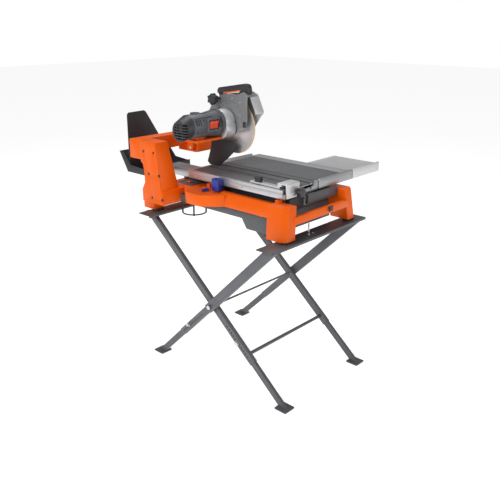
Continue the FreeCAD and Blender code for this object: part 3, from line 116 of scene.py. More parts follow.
def add_socket(group: bpy.types.NodeTree, name: str, kind: str, way: str, value: object = None) -> None:
    """Adds a named socket to a node group.

    Args:
        group: the node group.
        name: the socket's name.
        kind: "Color", "Float" or "Vector".
        way: "INPUT" or "OUTPUT".
        value: the socket's starting value.
    """
    socket = group.interface.new_socket(name=name, in_out=way, socket_type="NodeSocket" + kind)
    if value is not None:
        socket.default_value = value


def maths(tree: bpy.types.NodeTree, operation: str, *values: object) -> bpy.types.NodeSocket:
    """Adds a Math node fed by sockets or numbers.

    Args:
        tree: the node tree.
        operation: the Math node's operation.
        values: one socket or number for each input.

    Returns:
        The node's output socket.
    """
    node = tree.nodes.new("ShaderNodeMath")
    node.operation = operation
    for index, value in enumerate(values):
        if isinstance(value, bpy.types.NodeSocket):
            tree.links.new(value, node.inputs[index])
        else:
            node.inputs[index].default_value = value
    return node.outputs[0]


def blend_colours(tree: bpy.types.NodeTree, factor: object, first: object, second: object) -> bpy.types.NodeSocket:
    """Mixes two colours by a factor.

    Args:
        tree: the node tree.
        factor: socket or number from 0 to 1.
        first: colour socket or RGBA tuple at factor 0.
        second: colour socket or RGBA tuple at factor 1.

    Returns:
        The mixed colour socket.
    """
    node = tree.nodes.new("ShaderNodeMix")
    node.data_type = "RGBA"
    for index, value in ((0, factor), (6, first), (7, second)):
        if isinstance(value, bpy.types.NodeSocket):
            tree.links.new(value, node.inputs[index])
        else:
            node.inputs[index].default_value = value
    return node.outputs[2]


def noise(tree: bpy.types.NodeTree, vector: bpy.types.NodeSocket, scale: object, detail: float) -> bpy.types.NodeSocket:
    """Adds a noise texture.

    Args:
        tree: the node tree.
        vector: coordinates.
        scale: socket or number.
        detail: octaves of the noise.

    Returns:
        The noise value socket.
    """
    node = tree.nodes.new("ShaderNodeTexNoise")
    node.inputs["Detail"].default_value = detail
    tree.links.new(vector, node.inputs["Vector"])
    if isinstance(scale, bpy.types.NodeSocket):
        tree.links.new(scale, node.inputs["Scale"])
    else:
        node.inputs["Scale"].default_value = scale
    return node.outputs["Fac"]


def build_grain() -> bpy.types.NodeTree:
    """Builds the group for mottled colour, uneven gloss and fine surface height.

    Returns:
        The node group.
    """
    tree = bpy.data.node_groups.new(GroupName.GRAIN.value, "ShaderNodeTree")
    add_socket(tree, "Base", "Color", "INPUT", (0.5, 0.5, 0.5, 1.0))
    add_socket(tree, "Shade", "Color", "INPUT", (0.4, 0.4, 0.4, 1.0))
    add_socket(tree, "Mottle Scale", "Float", "INPUT", 9.0)
    add_socket(tree, "Grain Scale", "Float", "INPUT", 900.0)
    add_socket(tree, "Roughness", "Float", "INPUT", 0.5)
    add_socket(tree, "Spread", "Float", "INPUT", 0.2)
    for name, kind in (("Color", "Color"), ("Roughness", "Float"), ("Height", "Float")):
        add_socket(tree, name, kind, "OUTPUT")
    inside = tree.nodes.new("NodeGroupInput")
    outside = tree.nodes.new("NodeGroupOutput")
    place = tree.nodes.new("ShaderNodeTexCoord").outputs["Object"]
    mottle = noise(tree, place, inside.outputs["Mottle Scale"], 5.0)
    grain = noise(tree, place, inside.outputs["Grain Scale"], 3.0)
    strength = maths(tree, "MULTIPLY", maths(tree, "SUBTRACT", mottle, 0.35), 1.6)
    colour = blend_colours(tree, strength, inside.outputs["Base"], inside.outputs["Shade"])
    both = maths(tree, "ADD", maths(tree, "MULTIPLY", mottle, 0.7), maths(tree, "MULTIPLY", grain, 0.3))
    swing = maths(tree, "MULTIPLY", maths(tree, "SUBTRACT", both, 0.5), inside.outputs["Spread"])
    tree.links.new(colour, outside.inputs["Color"])
    tree.links.new(maths(tree, "ADD", inside.outputs["Roughness"], swing), outside.inputs["Roughness"])
    tree.links.new(grain, outside.inputs["Height"])
    return tree


def build_brush() -> bpy.types.NodeTree:
    """Builds the group for fine lines drawn along one axis.

    Returns:
        The node group.
    """
    tree = bpy.data.node_groups.new(GroupName.BRUSH.value, "ShaderNodeTree")
    add_socket(tree, "Stretch", "Vector", "INPUT", (600.0, 8.0, 600.0))
    add_socket(tree, "Base", "Color", "INPUT", (0.6, 0.6, 0.6, 1.0))
    add_socket(tree, "Shade", "Color", "INPUT", (0.4, 0.4, 0.4, 1.0))
    add_socket(tree, "Roughness", "Float", "INPUT", 0.35)
    add_socket(tree, "Spread", "Float", "INPUT", 0.3)
    for name, kind in (("Color", "Color"), ("Roughness", "Float"), ("Height", "Float")):
        add_socket(tree, name, kind, "OUTPUT")
    inside = tree.nodes.new("NodeGroupInput")
    outside = tree.nodes.new("NodeGroupOutput")
    place = tree.nodes.new("ShaderNodeTexCoord").outputs["Object"]
    scaled = tree.nodes.new("ShaderNodeVectorMath")
    scaled.operation = "MULTIPLY"
    tree.links.new(place, scaled.inputs[0])
    tree.links.new(inside.outputs["Stretch"], scaled.inputs[1])
    lines = noise(tree, scaled.outputs[0], 1.0, 2.0)
    patches = noise(tree, place, 6.0, 4.0)
    tone = maths(tree, "ADD", maths(tree, "MULTIPLY", lines, 0.6), maths(tree, "MULTIPLY", patches, 0.4))
    tree.links.new(blend_colours(tree, tone, inside.outputs["Base"], inside.outputs["Shade"]),
                   outside.inputs["Color"])
    swing = maths(tree, "MULTIPLY", maths(tree, "SUBTRACT", tone, 0.5), inside.outputs["Spread"])
    tree.links.new(maths(tree, "ADD", inside.outputs["Roughness"], swing), outside.inputs["Roughness"])
    tree.links.new(lines, outside.inputs["Height"])
    return tree


def build_edge() -> bpy.types.NodeTree:
    """Builds the group that lightens edges where a rounded normal turns away, broken up by noise: partly edge wear,
    partly a painted highlight on convex and concave edges alike.

    Returns:
        The node group.
    """
    tree = bpy.data.node_groups.new(GroupName.EDGE.value, "ShaderNodeTree")
    add_socket(tree, "Color", "Color", "INPUT", (0.5, 0.5, 0.5, 1.0))
    # The lighter edge colour: partly edge wear, partly a painted highlight.
    add_socket(tree, "Worn", "Color", "INPUT", (0.8, 0.8, 0.8, 1.0))
    add_socket(tree, "Amount", "Float", "INPUT", 0.5)
    add_socket(tree, "Color", "Color", "OUTPUT")
    inside = tree.nodes.new("NodeGroupInput")
    outside = tree.nodes.new("NodeGroupOutput")
    place = tree.nodes.new("ShaderNodeTexCoord").outputs["Object"]
    rounded = tree.nodes.new("ShaderNodeBevel")
    rounded.samples = 3
    rounded.inputs["Radius"].default_value = 0.0016
    turn = tree.nodes.new("ShaderNodeVectorMath")
    turn.operation = "DOT_PRODUCT"
    tree.links.new(rounded.outputs["Normal"], turn.inputs[0])
    tree.links.new(tree.nodes.new("ShaderNodeNewGeometry").outputs["Normal"], turn.inputs[1])
    ridge = maths(tree, "MULTIPLY", maths(tree, "SUBTRACT", 0.99, turn.outputs["Value"]), 6.0)
    ridge = maths(tree, "MINIMUM", maths(tree, "MAXIMUM", ridge, 0.0), 1.0)
    broken = maths(tree, "MULTIPLY", ridge, noise(tree, place, 45.0, 4.0))
    mask = maths(tree, "MULTIPLY", broken, inside.outputs["Amount"])
    tree.links.new(blend_colours(tree, mask, inside.outputs["Color"], inside.outputs["Worn"]),
                   outside.inputs["Color"])
    return tree


def build_ribs() -> bpy.types.NodeTree:
    """Builds the group for shallow parallel ribs with crossing scuffs.

    Returns:
        The node group.
    """
    tree = bpy.data.node_groups.new(GroupName.RIBS.value, "ShaderNodeTree")
    add_socket(tree, "Pitch", "Float", "INPUT", 400.0)
    add_socket(tree, "Base", "Color", "INPUT", (0.1, 0.1, 0.1, 1.0))
    add_socket(tree, "Line", "Color", "INPUT", (0.05, 0.05, 0.05, 1.0))
    add_socket(tree, "Color", "Color", "OUTPUT")
    add_socket(tree, "Height", "Float", "OUTPUT")
    inside = tree.nodes.new("NodeGroupInput")
    outside = tree.nodes.new("NodeGroupOutput")
    place = tree.nodes.new("ShaderNodeTexCoord").outputs["Object"]
    split = tree.nodes.new("ShaderNodeSeparateXYZ")
    tree.links.new(place, split.inputs[0])
    wave = maths(tree, "SINE", maths(tree, "MULTIPLY", split.outputs["X"], inside.outputs["Pitch"]))
    rib = maths(tree, "ADD", maths(tree, "MULTIPLY", wave, 0.5), 0.5)
    scuff = noise(tree, place, 14.0, 6.0)
    tone = maths(tree, "ADD", maths(tree, "MULTIPLY", rib, 0.55), maths(tree, "MULTIPLY", scuff, 0.45))
    tree.links.new(blend_colours(tree, tone, inside.outputs["Base"], inside.outputs["Line"]),
                   outside.inputs["Color"])
    tree.links.new(rib, outside.inputs["Height"])
    return tree


BUILDERS: dict[GroupName, Callable[[], bpy.types.NodeTree]] = {
    GroupName.GRAIN: build_grain,
    GroupName.BRUSH: build_brush,
    GroupName.EDGE: build_edge,
    GroupName.RIBS: build_ribs,
}


def place_group(tree: bpy.types.NodeTree, name: GroupName, **values: object) -> bpy.types.Node:
    """Places a shared group in a material, building it the first time.

    Args:
        tree: the material's node tree.
        name: which group.
        values: input values by name, with underscores for spaces.

    Returns:
        The group node.
    """
    group = bpy.data.node_groups.get(name.value) or BUILDERS[name]()
    node = tree.nodes.new("ShaderNodeGroup")
    node.node_tree = group
    for key, value in values.items():
        node.inputs[key.replace("_", " ")].default_value = value
    return node


# ------------------------------------------------------------------ finishes

def rgba(colour: Colour) -> tuple[float, float, float, float]:
    """A colour with full alpha."""
    return (colour[0], colour[1], colour[2], 1.0)


@dataclass(frozen=True)
class Finish:
    """What every finish has in common: a name, two tones, gloss and a bump."""

    name: str
    base: Colour
    shade: Colour
    roughness: float = 0.5
    spread: float = 0.2
    metallic: float = 0.0
    bump: float = 0.1
    bump_depth: float = 0.0004
    coat: float = 0.0
    specular: float = 0.5
    mottle: float = 9.0
    grain: float = 900.0
    # Lighter edge colour and its amount: partly edge wear, partly a painted highlight along edges.
    wear_and_highlight_colour: Colour | None = None
    wear_and_highlight_amount: float = 0.0

    def pattern(self, tree: bpy.types.NodeTree) -> bpy.types.Node:
        """Places the node group that gives colour, roughness and height."""
        return place_group(tree, GroupName.GRAIN, Base=rgba(self.base), Shade=rgba(self.shade),
                           Mottle_Scale=self.mottle, Grain_Scale=self.grain,
                           Roughness=self.roughness, Spread=self.spread)

    def material(self) -> bpy.types.Material:
        """Builds the material once and returns it.

        Returns:
            The finished material.
        """
        ready = bpy.data.materials.get(self.name + "_look")
        if ready is not None:
            return ready
        made = bpy.data.materials.new(self.name + "_look")
        made.use_nodes = True
        tree = made.node_tree
        shader = tree.nodes["Principled BSDF"]
        shader.inputs["Metallic"].default_value = self.metallic
        shader.inputs["Coat Weight"].default_value = self.coat
        shader.inputs["Coat Roughness"].default_value = 0.12
        shader.inputs["Specular IOR Level"].default_value = self.specular
        skin = self.pattern(tree)
        colour = skin.outputs["Color"]
        # Lightens the edges: partly edge wear, partly a painted highlight.
        if self.wear_and_highlight_colour is not None:
            edge = place_group(tree, GroupName.EDGE, Worn=rgba(self.wear_and_highlight_colour), Amount=self.wear_and_highlight_amount)
            tree.links.new(colour, edge.inputs["Color"])
            colour = edge.outputs["Color"]
        tree.links.new(colour, shader.inputs["Base Color"])
        tree.links.new(skin.outputs["Roughness"], shader.inputs["Roughness"])
        bump = tree.nodes.new("ShaderNodeBump")
        bump.inputs["Strength"].default_value = self.bump
        bump.inputs["Distance"].default_value = self.bump_depth
        tree.links.new(skin.outputs["Height"], bump.inputs["Height"])
        tree.links.new(bump.outputs["Normal"], shader.inputs["Normal"])
        made.diffuse_color = rgba(self.base)
        return made


@dataclass(frozen=True)
class DrawnMetal(Finish):
    """Metal with fine lines along one axis."""

    along: Axis = Axis.Y

    def pattern(self, tree: bpy.types.NodeTree) -> bpy.types.Node:
        """Places the brushed group with its lines along the axis."""
        stretch = [700.0, 700.0, 700.0]
        stretch["XYZ".index(self.along.value)] = 6.0
        return place_group(tree, GroupName.BRUSH, Stretch=stretch, Base=rgba(self.base),
                           Shade=rgba(self.shade), Roughness=self.roughness, Spread=self.spread)


@dataclass(frozen=True)
class RibbedRubber(Finish):
    """Rubber mat with shallow ribs along the table."""

    pitch: float = 1400.0

    def material(self) -> bpy.types.Material:
        """Builds the ribbed material: ribs for colour and height, grain for gloss."""
        ready = bpy.data.materials.get(self.name + "_look")
        if ready is not None:
            return ready
        made = super().material()
        tree = made.node_tree
        shader = tree.nodes["Principled BSDF"]
        ribs = place_group(tree, GroupName.RIBS, Pitch=self.pitch, Base=rgba(self.base), Line=rgba(self.shade))
        tree.links.new(ribs.outputs["Color"], shader.inputs["Base Color"])
        bump = next(node for node in tree.nodes if node.bl_idname == "ShaderNodeBump")
        tree.links.new(ribs.outputs["Height"], bump.inputs["Height"])
        return made


@dataclass(frozen=True)
class DiamondBlade(Finish):
    """Ground steel disc whose rim is a sandy diamond band."""

    rim: Colour = (0.72, 0.50, 0.30)
    rim_radius: float = 0.1215
    centre: Point = (0.0, 0.0, 0.0)

    def material(self) -> bpy.types.Material:
        """Builds rings round the blade's centre and a sandy band at its rim."""
        ready = bpy.data.materials.get(self.name + "_look")
        if ready is not None:
            return ready
        made = super().material()
        tree = made.node_tree
        shader = tree.nodes["Principled BSDF"]
        place = tree.nodes.new("ShaderNodeTexCoord").outputs["Object"]
        shift = tree.nodes.new("ShaderNodeVectorMath")
        shift.operation = "SUBTRACT"
        tree.links.new(place, shift.inputs[0])
        shift.inputs[1].default_value = self.centre
        flat = tree.nodes.new("ShaderNodeVectorMath")
        flat.operation = "MULTIPLY"
        flat.inputs[1].default_value = (0.0, 1.0, 1.0)
        tree.links.new(shift.outputs[0], flat.inputs[0])
        length = tree.nodes.new("ShaderNodeVectorMath")
        length.operation = "LENGTH"
        tree.links.new(flat.outputs[0], length.inputs[0])
        radius = length.outputs["Value"]
        band = maths(tree, "GREATER_THAN", radius, self.rim_radius)
        rings = maths(tree, "ADD", maths(tree, "MULTIPLY", maths(tree, "SINE", maths(
            tree, "MULTIPLY", radius, 2600.0)), 0.5), 0.5)
        face = blend_colours(tree, maths(tree, "MULTIPLY", rings, 0.35), rgba(self.base), rgba(self.shade))
        tree.links.new(blend_colours(tree, band, face, rgba(self.rim)), shader.inputs["Base Color"])
        tree.links.new(maths(tree, "MULTIPLY", maths(tree, "SUBTRACT", 1.0, band), 0.55), shader.inputs["Metallic"])
        tree.links.new(maths(tree, "ADD", maths(tree, "MULTIPLY", band, 0.45), maths(
            tree, "ADD", 0.42, maths(tree, "MULTIPLY", rings, 0.08))), shader.inputs["Roughness"])
        return made


# The lighter edge colours given below are partly edge wear, partly a painted highlight along edges.
ORANGE = Finish("orange_paint", (0.84, 0.118, 0.001), (0.78, 0.100, 0.001), 0.40, 0.08, bump=0.12,
                bump_depth=0.0003, coat=0.05, specular=0.18, grain=420.0, wear_and_highlight_colour=(0.95, 0.40, 0.14), wear_and_highlight_amount=0.45)
LEG_PAINT = Finish("leg_paint", (0.105, 0.108, 0.118), (0.075, 0.078, 0.085), 0.48, 0.2, bump=0.25,
                   grain=1200.0, wear_and_highlight_colour=(0.3, 0.3, 0.31), wear_and_highlight_amount=0.5)
BEAM_PAINT = Finish("beam_paint", (0.075, 0.077, 0.084), (0.045, 0.046, 0.05), 0.42, 0.2, bump=0.25,
                    grain=1200.0, wear_and_highlight_colour=(0.25, 0.25, 0.26), wear_and_highlight_amount=0.5)
ZINC = DrawnMetal("zinc_steel", (0.70, 0.70, 0.71), (0.52, 0.52, 0.54), 0.28, 0.2, 1.0, along=Axis.X)
BLACK_PLASTIC = Finish("black_plastic", (0.022, 0.022, 0.025), (0.034, 0.034, 0.038), 0.45, 0.25, bump=0.3,
                       grain=1500.0, wear_and_highlight_colour=(0.12, 0.12, 0.13), wear_and_highlight_amount=0.4)
GREY_PLASTIC = Finish("grey_plastic", (0.085, 0.09, 0.10), (0.06, 0.063, 0.07), 0.42, 0.2, bump=0.3,
                      grain=1500.0, wear_and_highlight_colour=(0.2, 0.2, 0.21), wear_and_highlight_amount=0.4)
RUBBER = Finish("black_rubber", (0.024, 0.024, 0.027), (0.04, 0.04, 0.043), 0.62, 0.2, bump=0.35, grain=700.0)
MAT = RibbedRubber("mat_rubber", (0.195, 0.198, 0.204), (0.105, 0.108, 0.112), 0.72, 0.12, bump=0.4,
                   bump_depth=0.0005, specular=0.12)
ALUMINIUM = DrawnMetal("aluminium", (0.62, 0.625, 0.635), (0.46, 0.465, 0.48), 0.36, 0.2, 0.75, along=Axis.Y)
FENCE = DrawnMetal("fence_metal", (0.42, 0.425, 0.435), (0.31, 0.315, 0.325), 0.38, 0.2, 0.75, along=Axis.X)
MOTOR = Finish("motor_shell", (0.105, 0.108, 0.12), (0.075, 0.078, 0.088), 0.4, 0.2, bump=0.3, grain=1300.0,
               wear_and_highlight_colour=(0.24, 0.24, 0.26), wear_and_highlight_amount=0.5)
GUARD = Finish("guard_metal", (0.25, 0.253, 0.262), (0.19, 0.193, 0.203), 0.38, 0.12, 0.3, bump=0.15,
               wear_and_highlight_colour=(0.7, 0.7, 0.71), wear_and_highlight_amount=0.5)
PALE_METAL = DrawnMetal("pale_metal", (0.70, 0.70, 0.705), (0.58, 0.58, 0.59), 0.40, 0.15, 0.5, along=Axis.Y)
GEAR = Finish("gear_metal", (0.62, 0.625, 0.635), (0.50, 0.505, 0.52), 0.40, 0.15, 0.5, bump=0.3, grain=500.0)
BLUE = Finish("blue_plastic", (0.016, 0.035, 0.33), (0.012, 0.022, 0.24), 0.35, 0.15, bump=0.15, coat=0.2)
RED = Finish("switch_red", (0.80, 0.07, 0.02), (0.66, 0.05, 0.015), 0.35, 0.15, bump=0.15, coat=0.2)
IRON = Finish("inner_iron", (0.25, 0.25, 0.26), (0.16, 0.16, 0.165), 0.5, 0.3, 0.8, bump=0.5)
GRIP = Finish("orange_grip", (0.88, 0.15, 0.01), (0.76, 0.11, 0.006), 0.4, 0.15, bump=0.2, coat=0.15)

FINISHES: dict[str, Finish] = {finish.name: finish for finish in (
    ORANGE, LEG_PAINT, BEAM_PAINT, ZINC, BLACK_PLASTIC, GREY_PLASTIC, RUBBER, MAT, ALUMINIUM, FENCE, MOTOR,
    GUARD, GEAR, BLUE, RED, IRON, GRIP)}


# ------------------------------------------------------------------ modelling helpers

@dataclass
class Workshop:
    """The loaded frame and the way from the saw's own measures to the row frame."""

    frame: dict
    shift: Vector = field(default_factory=Vector)

    def __post_init__(self) -> None:
        """Finds the shift from where the blade lies."""
        low, high = (Vector(corner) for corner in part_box("blade"))
        self.shift = (low + high) / 2 - BLADE_CENTRE

    def at(self, x: float, y: float, z: float) -> Vector:
        """A point given in the saw's millimetres, in the row frame."""
        return Vector((x, y, z)) * MM + self.shift

    def node(self, name: str) -> bpy.types.Object:
        """A CAD node's object."""
        return self.frame["nodes"][name]

    def body_of(self, name: str) -> str:
        """The body that a CAD node belongs to."""
        bodies = self.frame["record"]["behaviour"]["bodies"]
        return next(body for body, nodes in bodies.items() if name in nodes)

    def slot_of(self, name: str) -> str:
        """The material slot of a CAD node."""
        return next(part["material_slot"] for part in self.frame["record"]["subparts"] if part["node"] == name)


def only(obj: bpy.types.Object) -> None:
    """Makes one object the only selected and the active one."""
    bpy.ops.object.select_all(action="DESELECT")
    obj.select_set(True)
    bpy.context.view_layer.objects.active = obj


def settle(obj: bpy.types.Object) -> None:
    """Puts an object's place, turn and size into its mesh."""
    only(obj)
    bpy.ops.object.transform_apply(location=True, rotation=True, scale=True)


def soften(obj: bpy.types.Object, width: float, angle: float = 40.0, segments: int = 2) -> None:
    """Rounds the sharp edges with an applied Bevel modifier and smooths the shading.

    Args:
        obj: the object.
        width: width of the rounding in millimetres, 0 for none.
        angle: only edges sharper than this, in degrees, are rounded.
        segments: faces across the rounding.
    """
    only(obj)
    if width > 0:
        bevel = obj.modifiers.new("round", "BEVEL")
        bevel.width = width * MM
        bevel.segments = segments
        bevel.limit_method = "ANGLE"
        bevel.angle_limit = math.radians(angle)
        bevel.use_clamp_overlap = True
        bpy.ops.object.modifier_apply(modifier=bevel.name)
    bpy.ops.object.shade_smooth_by_angle(angle=math.radians(32))


def dress(obj: bpy.types.Object, finish: Finish, body: str) -> bpy.types.Object:
    """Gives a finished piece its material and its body.

    Args:
        obj: the piece.
        finish: its finish.
        body: the CAD body that it moves with.

    Returns:
        The piece.
    """
    obj.data.materials.clear()
    obj.data.materials.append(finish.material())
    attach(obj, body)
    LOG.info("%s rides on %s", obj.name, body)
    return obj


def block(name: str, low: Vector, high: Vector, bevel: float = 1.0) -> bpy.types.Object:
    """A block between two corners with rounded edges, bevelled in edit mode.

    Args:
        name: the object's name.
        low: lowest corner.
        high: highest corner.
        bevel: width of the rounding in millimetres.

    Returns:
        The object.
    """
    bpy.ops.object.select_all(action="DESELECT")
    bpy.ops.mesh.primitive_cube_add(size=1.0, location=(low + high) / 2)
    obj = bpy.context.object
    obj.name = name
    obj.scale = high - low
    settle(obj)
    bpy.ops.object.mode_set(mode="EDIT")
    bpy.ops.mesh.select_all(action="SELECT")
    bpy.ops.mesh.bevel(offset=bevel * MM, segments=2, affect="EDGES")
    bpy.ops.object.mode_set(mode="OBJECT")
    soften(obj, 0)
    return obj


def disc(name: str, start: Vector, axis: Axis, radius: float, length: float, sides: int = 32,
         bevel: float = 0.6, dish: float = 0.0) -> bpy.types.Object:
    """A round or many-sided head: a cylinder with a bevelled rim and an optional sunk face.

    Args:
        name: the object's name.
        start: centre of the first face.
        axis: the way it points.
        radius: in millimetres.
        length: in millimetres.
        sides: number of sides, 6 for a hexagon.
        bevel: rim rounding in millimetres.
        dish: depth of a socket in the outer face, in millimetres.

    Returns:
        The object.
    """
    way = axis.vector() * length * MM
    bpy.ops.object.select_all(action="DESELECT")
    bpy.ops.mesh.primitive_cylinder_add(vertices=sides, radius=radius * MM, depth=abs(length) * MM,
                                        location=start + way / 2, rotation=axis.turn())
    obj = bpy.context.object
    obj.name = name
    settle(obj)
    if dish:
        bpy.ops.object.mode_set(mode="EDIT")
        bpy.ops.mesh.select_all(action="DESELECT")
        bpy.ops.object.mode_set(mode="OBJECT")
        outer = axis.vector() * (1 if length > 0 else -1)
        for face in obj.data.polygons:
            face.select = face.normal.dot(outer) > 0.99
        bpy.ops.object.mode_set(mode="EDIT")
        bpy.ops.mesh.select_mode(type="FACE")
        bpy.ops.mesh.inset(thickness=radius * 0.42 * MM)
        bpy.ops.mesh.extrude_region_move(TRANSFORM_OT_translate={"value": tuple(-outer * dish * MM)})
        bpy.ops.mesh.select_mode(type="VERT")
        bpy.ops.object.mode_set(mode="OBJECT")
    soften(obj, bevel, 50.0)
    return obj


def arc_band(name: str, shop: Workshop, x0: float, x1: float, radii: tuple[float, float],
             angles: tuple[float, float], centre: tuple[float, float]) -> bpy.types.Object:
    """A curved bar round an axis along X, spun from one flat face.

    Args:
        name: the object's name.
        shop: the loaded frame.
        x0: left end in millimetres.
        x1: right end in millimetres.
        radii: inner and outer radius in millimetres.
        angles: first and last angle in degrees, from the front, upwards.
        centre: y and z of the axis in millimetres.

    Returns:
        The object.
    """
    y, z = centre
    start, end = (math.radians(angle) for angle in angles)
    middle = (radii[0] + radii[1]) / 2
    bpy.ops.object.select_all(action="DESELECT")
    bpy.ops.mesh.primitive_plane_add(size=1.0, location=shop.at((x0 + x1) / 2, y - middle, z))
    obj = bpy.context.object
    obj.name = name
    obj.scale = Vector(((x1 - x0) * MM, (radii[1] - radii[0]) * MM, 1.0))
    settle(obj)
    axis = shop.at((x0 + x1) / 2, y, z)
    first = Matrix.Translation(axis) @ Matrix.Rotation(-start, 4, "X") @ Matrix.Translation(-axis)
    obj.data.transform(first)
    bpy.ops.object.mode_set(mode="EDIT")
    bpy.ops.mesh.select_all(action="SELECT")
    steps = max(3, int(abs(math.degrees(end - start)) / 6))
    bpy.ops.mesh.spin(steps=steps, angle=end - start, center=axis, axis=(1.0, 0.0, 0.0))
    bpy.ops.mesh.select_all(action="SELECT")
    bpy.ops.mesh.remove_doubles(threshold=0.00001)
    bpy.ops.mesh.normals_make_consistent(inside=False)
    bpy.ops.object.mode_set(mode="OBJECT")
    soften(obj, 0.6, 50.0)
    return obj


def sunk(obj: bpy.types.Object, outward: Vector, rim: float, depth: float) -> bpy.types.Object:
    """Sinks a pocket into a block's largest face that looks one way.

    Args:
        obj: the block.
        outward: the way the face looks.
        rim: width of the rim in millimetres.
        depth: depth of the pocket in millimetres.

    Returns:
        The block.
    """
    only(obj)
    largest = max((face for face in obj.data.polygons if face.normal.dot(outward) > 0.99),
                  key=lambda face: face.area)
    chosen = largest.index
    bpy.ops.object.mode_set(mode="EDIT")
    bpy.ops.mesh.select_mode(type="FACE")
    bpy.ops.mesh.select_all(action="DESELECT")
    form = bmesh.from_edit_mesh(obj.data)
    form.faces.ensure_lookup_table()
    form.faces[chosen].select_set(True)
    bmesh.update_edit_mesh(obj.data)
    bpy.ops.mesh.inset(thickness=rim * MM)
    bpy.ops.mesh.extrude_region_move(TRANSFORM_OT_translate={"value": tuple(-outward * depth * MM)})
    bpy.ops.mesh.select_mode(type="VERT")
    bpy.ops.object.mode_set(mode="OBJECT")
    soften(obj, 0)
    return obj


def pocket_top(name: str, low: Vector, high: Vector, rim: float, depth: float) -> bpy.types.Object:
    """A flat cover with a sunk top.

    Args:
        name: the object's name.
        low: lowest corner.
        high: highest corner.
        rim: width of the rim in millimetres.
        depth: depth of the pocket in millimetres.

    Returns:
        The object.
    """
    return sunk(block(name, low, high, 1.0), Vector((0, 0, 1)), rim, depth)


def pocket(name: str, low: Vector, high: Vector, rim: float, depth: float) -> bpy.types.Object:
    """A raised panel with a sunk pocket in its front (-Y) face.

    Args:
        name: the object's name.
        low: lowest corner.
        high: highest corner.
        rim: width of the rim in millimetres.
        depth: depth of the pocket in millimetres.

    Returns:
        The object.
    """
    return sunk(block(name, low, high, 1.2), Vector((0, -1, 0)), rim, depth)


def joined(name: str, pieces: Sequence[bpy.types.Object]) -> bpy.types.Object:
    """Joins pieces into one object.

    Args:
        name: the new name.
        pieces: the objects, of which the first stays.

    Returns:
        The joined object.
    """
    bpy.ops.object.select_all(action="DESELECT")
    for piece in pieces:
        piece.select_set(True)
    bpy.context.view_layer.objects.active = pieces[0]
    bpy.ops.object.join()
    pieces[0].name = name
    return pieces[0]


def refined(shop: Workshop, node: str, bevel: float, finish: Finish | None = None) -> bpy.types.Object:
    """A welded copy of a CAD node with rounded edges that stands for it.

    Args:
        shop: the loaded frame.
        node: the CAD node.
        bevel: width of the rounding in millimetres.
        finish: its finish, or None for the one of its slot.

    Returns:
        The piece.
    """
    source = shop.node(node)
    copy = bpy.data.objects.new(node + "_skin", source.data.copy())
    bpy.context.scene.collection.objects.link(copy)
    only(copy)
    bpy.ops.object.mode_set(mode="EDIT")
    bpy.ops.mesh.select_all(action="SELECT")
    bpy.ops.mesh.remove_doubles(threshold=0.00002)
    bpy.ops.mesh.dissolve_limited(angle_limit=math.radians(0.6))
    bpy.ops.object.mode_set(mode="OBJECT")
    soften(copy, bevel)
    slot = shop.slot_of(node)
    dress(copy, finish or FINISHES[slot], shop.body_of(node))
    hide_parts(node)
    return copy


def repaint(shop: Workshop, node: str, finish: Finish) -> None:
    """Gives a CAD node that stays as it is its material."""
    obj = shop.node(node)
    obj.data.materials.clear()
    obj.data.materials.append(finish.material())


# ------------------------------------------------------------------ sub-assemblies

@dataclass
class Stand:
    """The folding stand: legs, beams, extensions, pivot and set bolts."""

    shop: Workshop
    bolt_radius: float = 9.0
    bolts: tuple[tuple[str, str, float, float, float, int], ...] = (
        ("front_left", "stand", -288.0, -174.0, 226.0, -1),
        ("front_right", "stand", 288.0, -174.0, 226.0, 1),
        ("rear_left", "stand_outer", -311.0, 133.0, 227.0, -1),
        ("rear_right", "stand_outer", 311.0, 133.0, 227.0, 1),
    )

    def tubes(self) -> None:
        """Legs, beams and extensions with rounded edges."""
        for node in ("inner_legs", "outer_legs", "front_leg_extension_left", "front_leg_extension_right",
                     "rear_leg_extension_left", "rear_leg_extension_right"):
            refined(self.shop, node, 1.0)
        for node in ("front_beam", "rear_beam"):
            refined(self.shop, node, 1.2)
        refined(self.shop, "cross_bar", 0.6)
        refined(self.shop, "pivot_rod", 1.0, LEG_PAINT)
        for tag, side in (("left", -1), ("right", 1)):
            head = disc("pivot_head_" + tag, self.shop.at(side * 317.4, -20, 368), Axis.X, 10.4, side * 2.6,
                        32, 0.8, 0.8)
            dress(head, ZINC, "stand")

    def set_bolts(self) -> None:
        """A hexagon set bolt with a washer on every sleeve."""
        for tag, body, x, y, z, side in self.bolts:
            start = self.shop.at(x, y, z)
            washer = disc("washer_" + tag, start, Axis.X, self.bolt_radius + 2, side * 1.6, 28, 0.3)
            head = disc("head_" + tag, start + Vector((side * 1.6 * MM, 0, 0)), Axis.X, self.bolt_radius,
                        side * 6.5, 6, 0.7)
            dress(joined("set_bolt_" + tag, [head, washer]), ZINC, body)

    def beam_pins(self) -> None:
        """The upright locating pin and the small screw on the front beam."""
        at = self.shop.at
        pin = disc("pin_shank", at(-50, -385, 743.2), Axis.Z, 3.5, 52, 20, 0.8)
        collar = disc("pin_collar", at(-50, -385, 743.2), Axis.Z, 8, 5, 6, 0.6)
        dress(joined("beam_pin", [pin, collar]), ZINC, "stand_outer")
        dress(disc("beam_screw", at(-18, -385, 743.2), Axis.Z, 6, 3.2, 24, 0.8, 1.4), ZINC, "stand_outer")

    def build(self) -> None:
        """Builds every piece of the stand."""
        self.tubes()
        self.set_bolts()
        self.beam_pins()


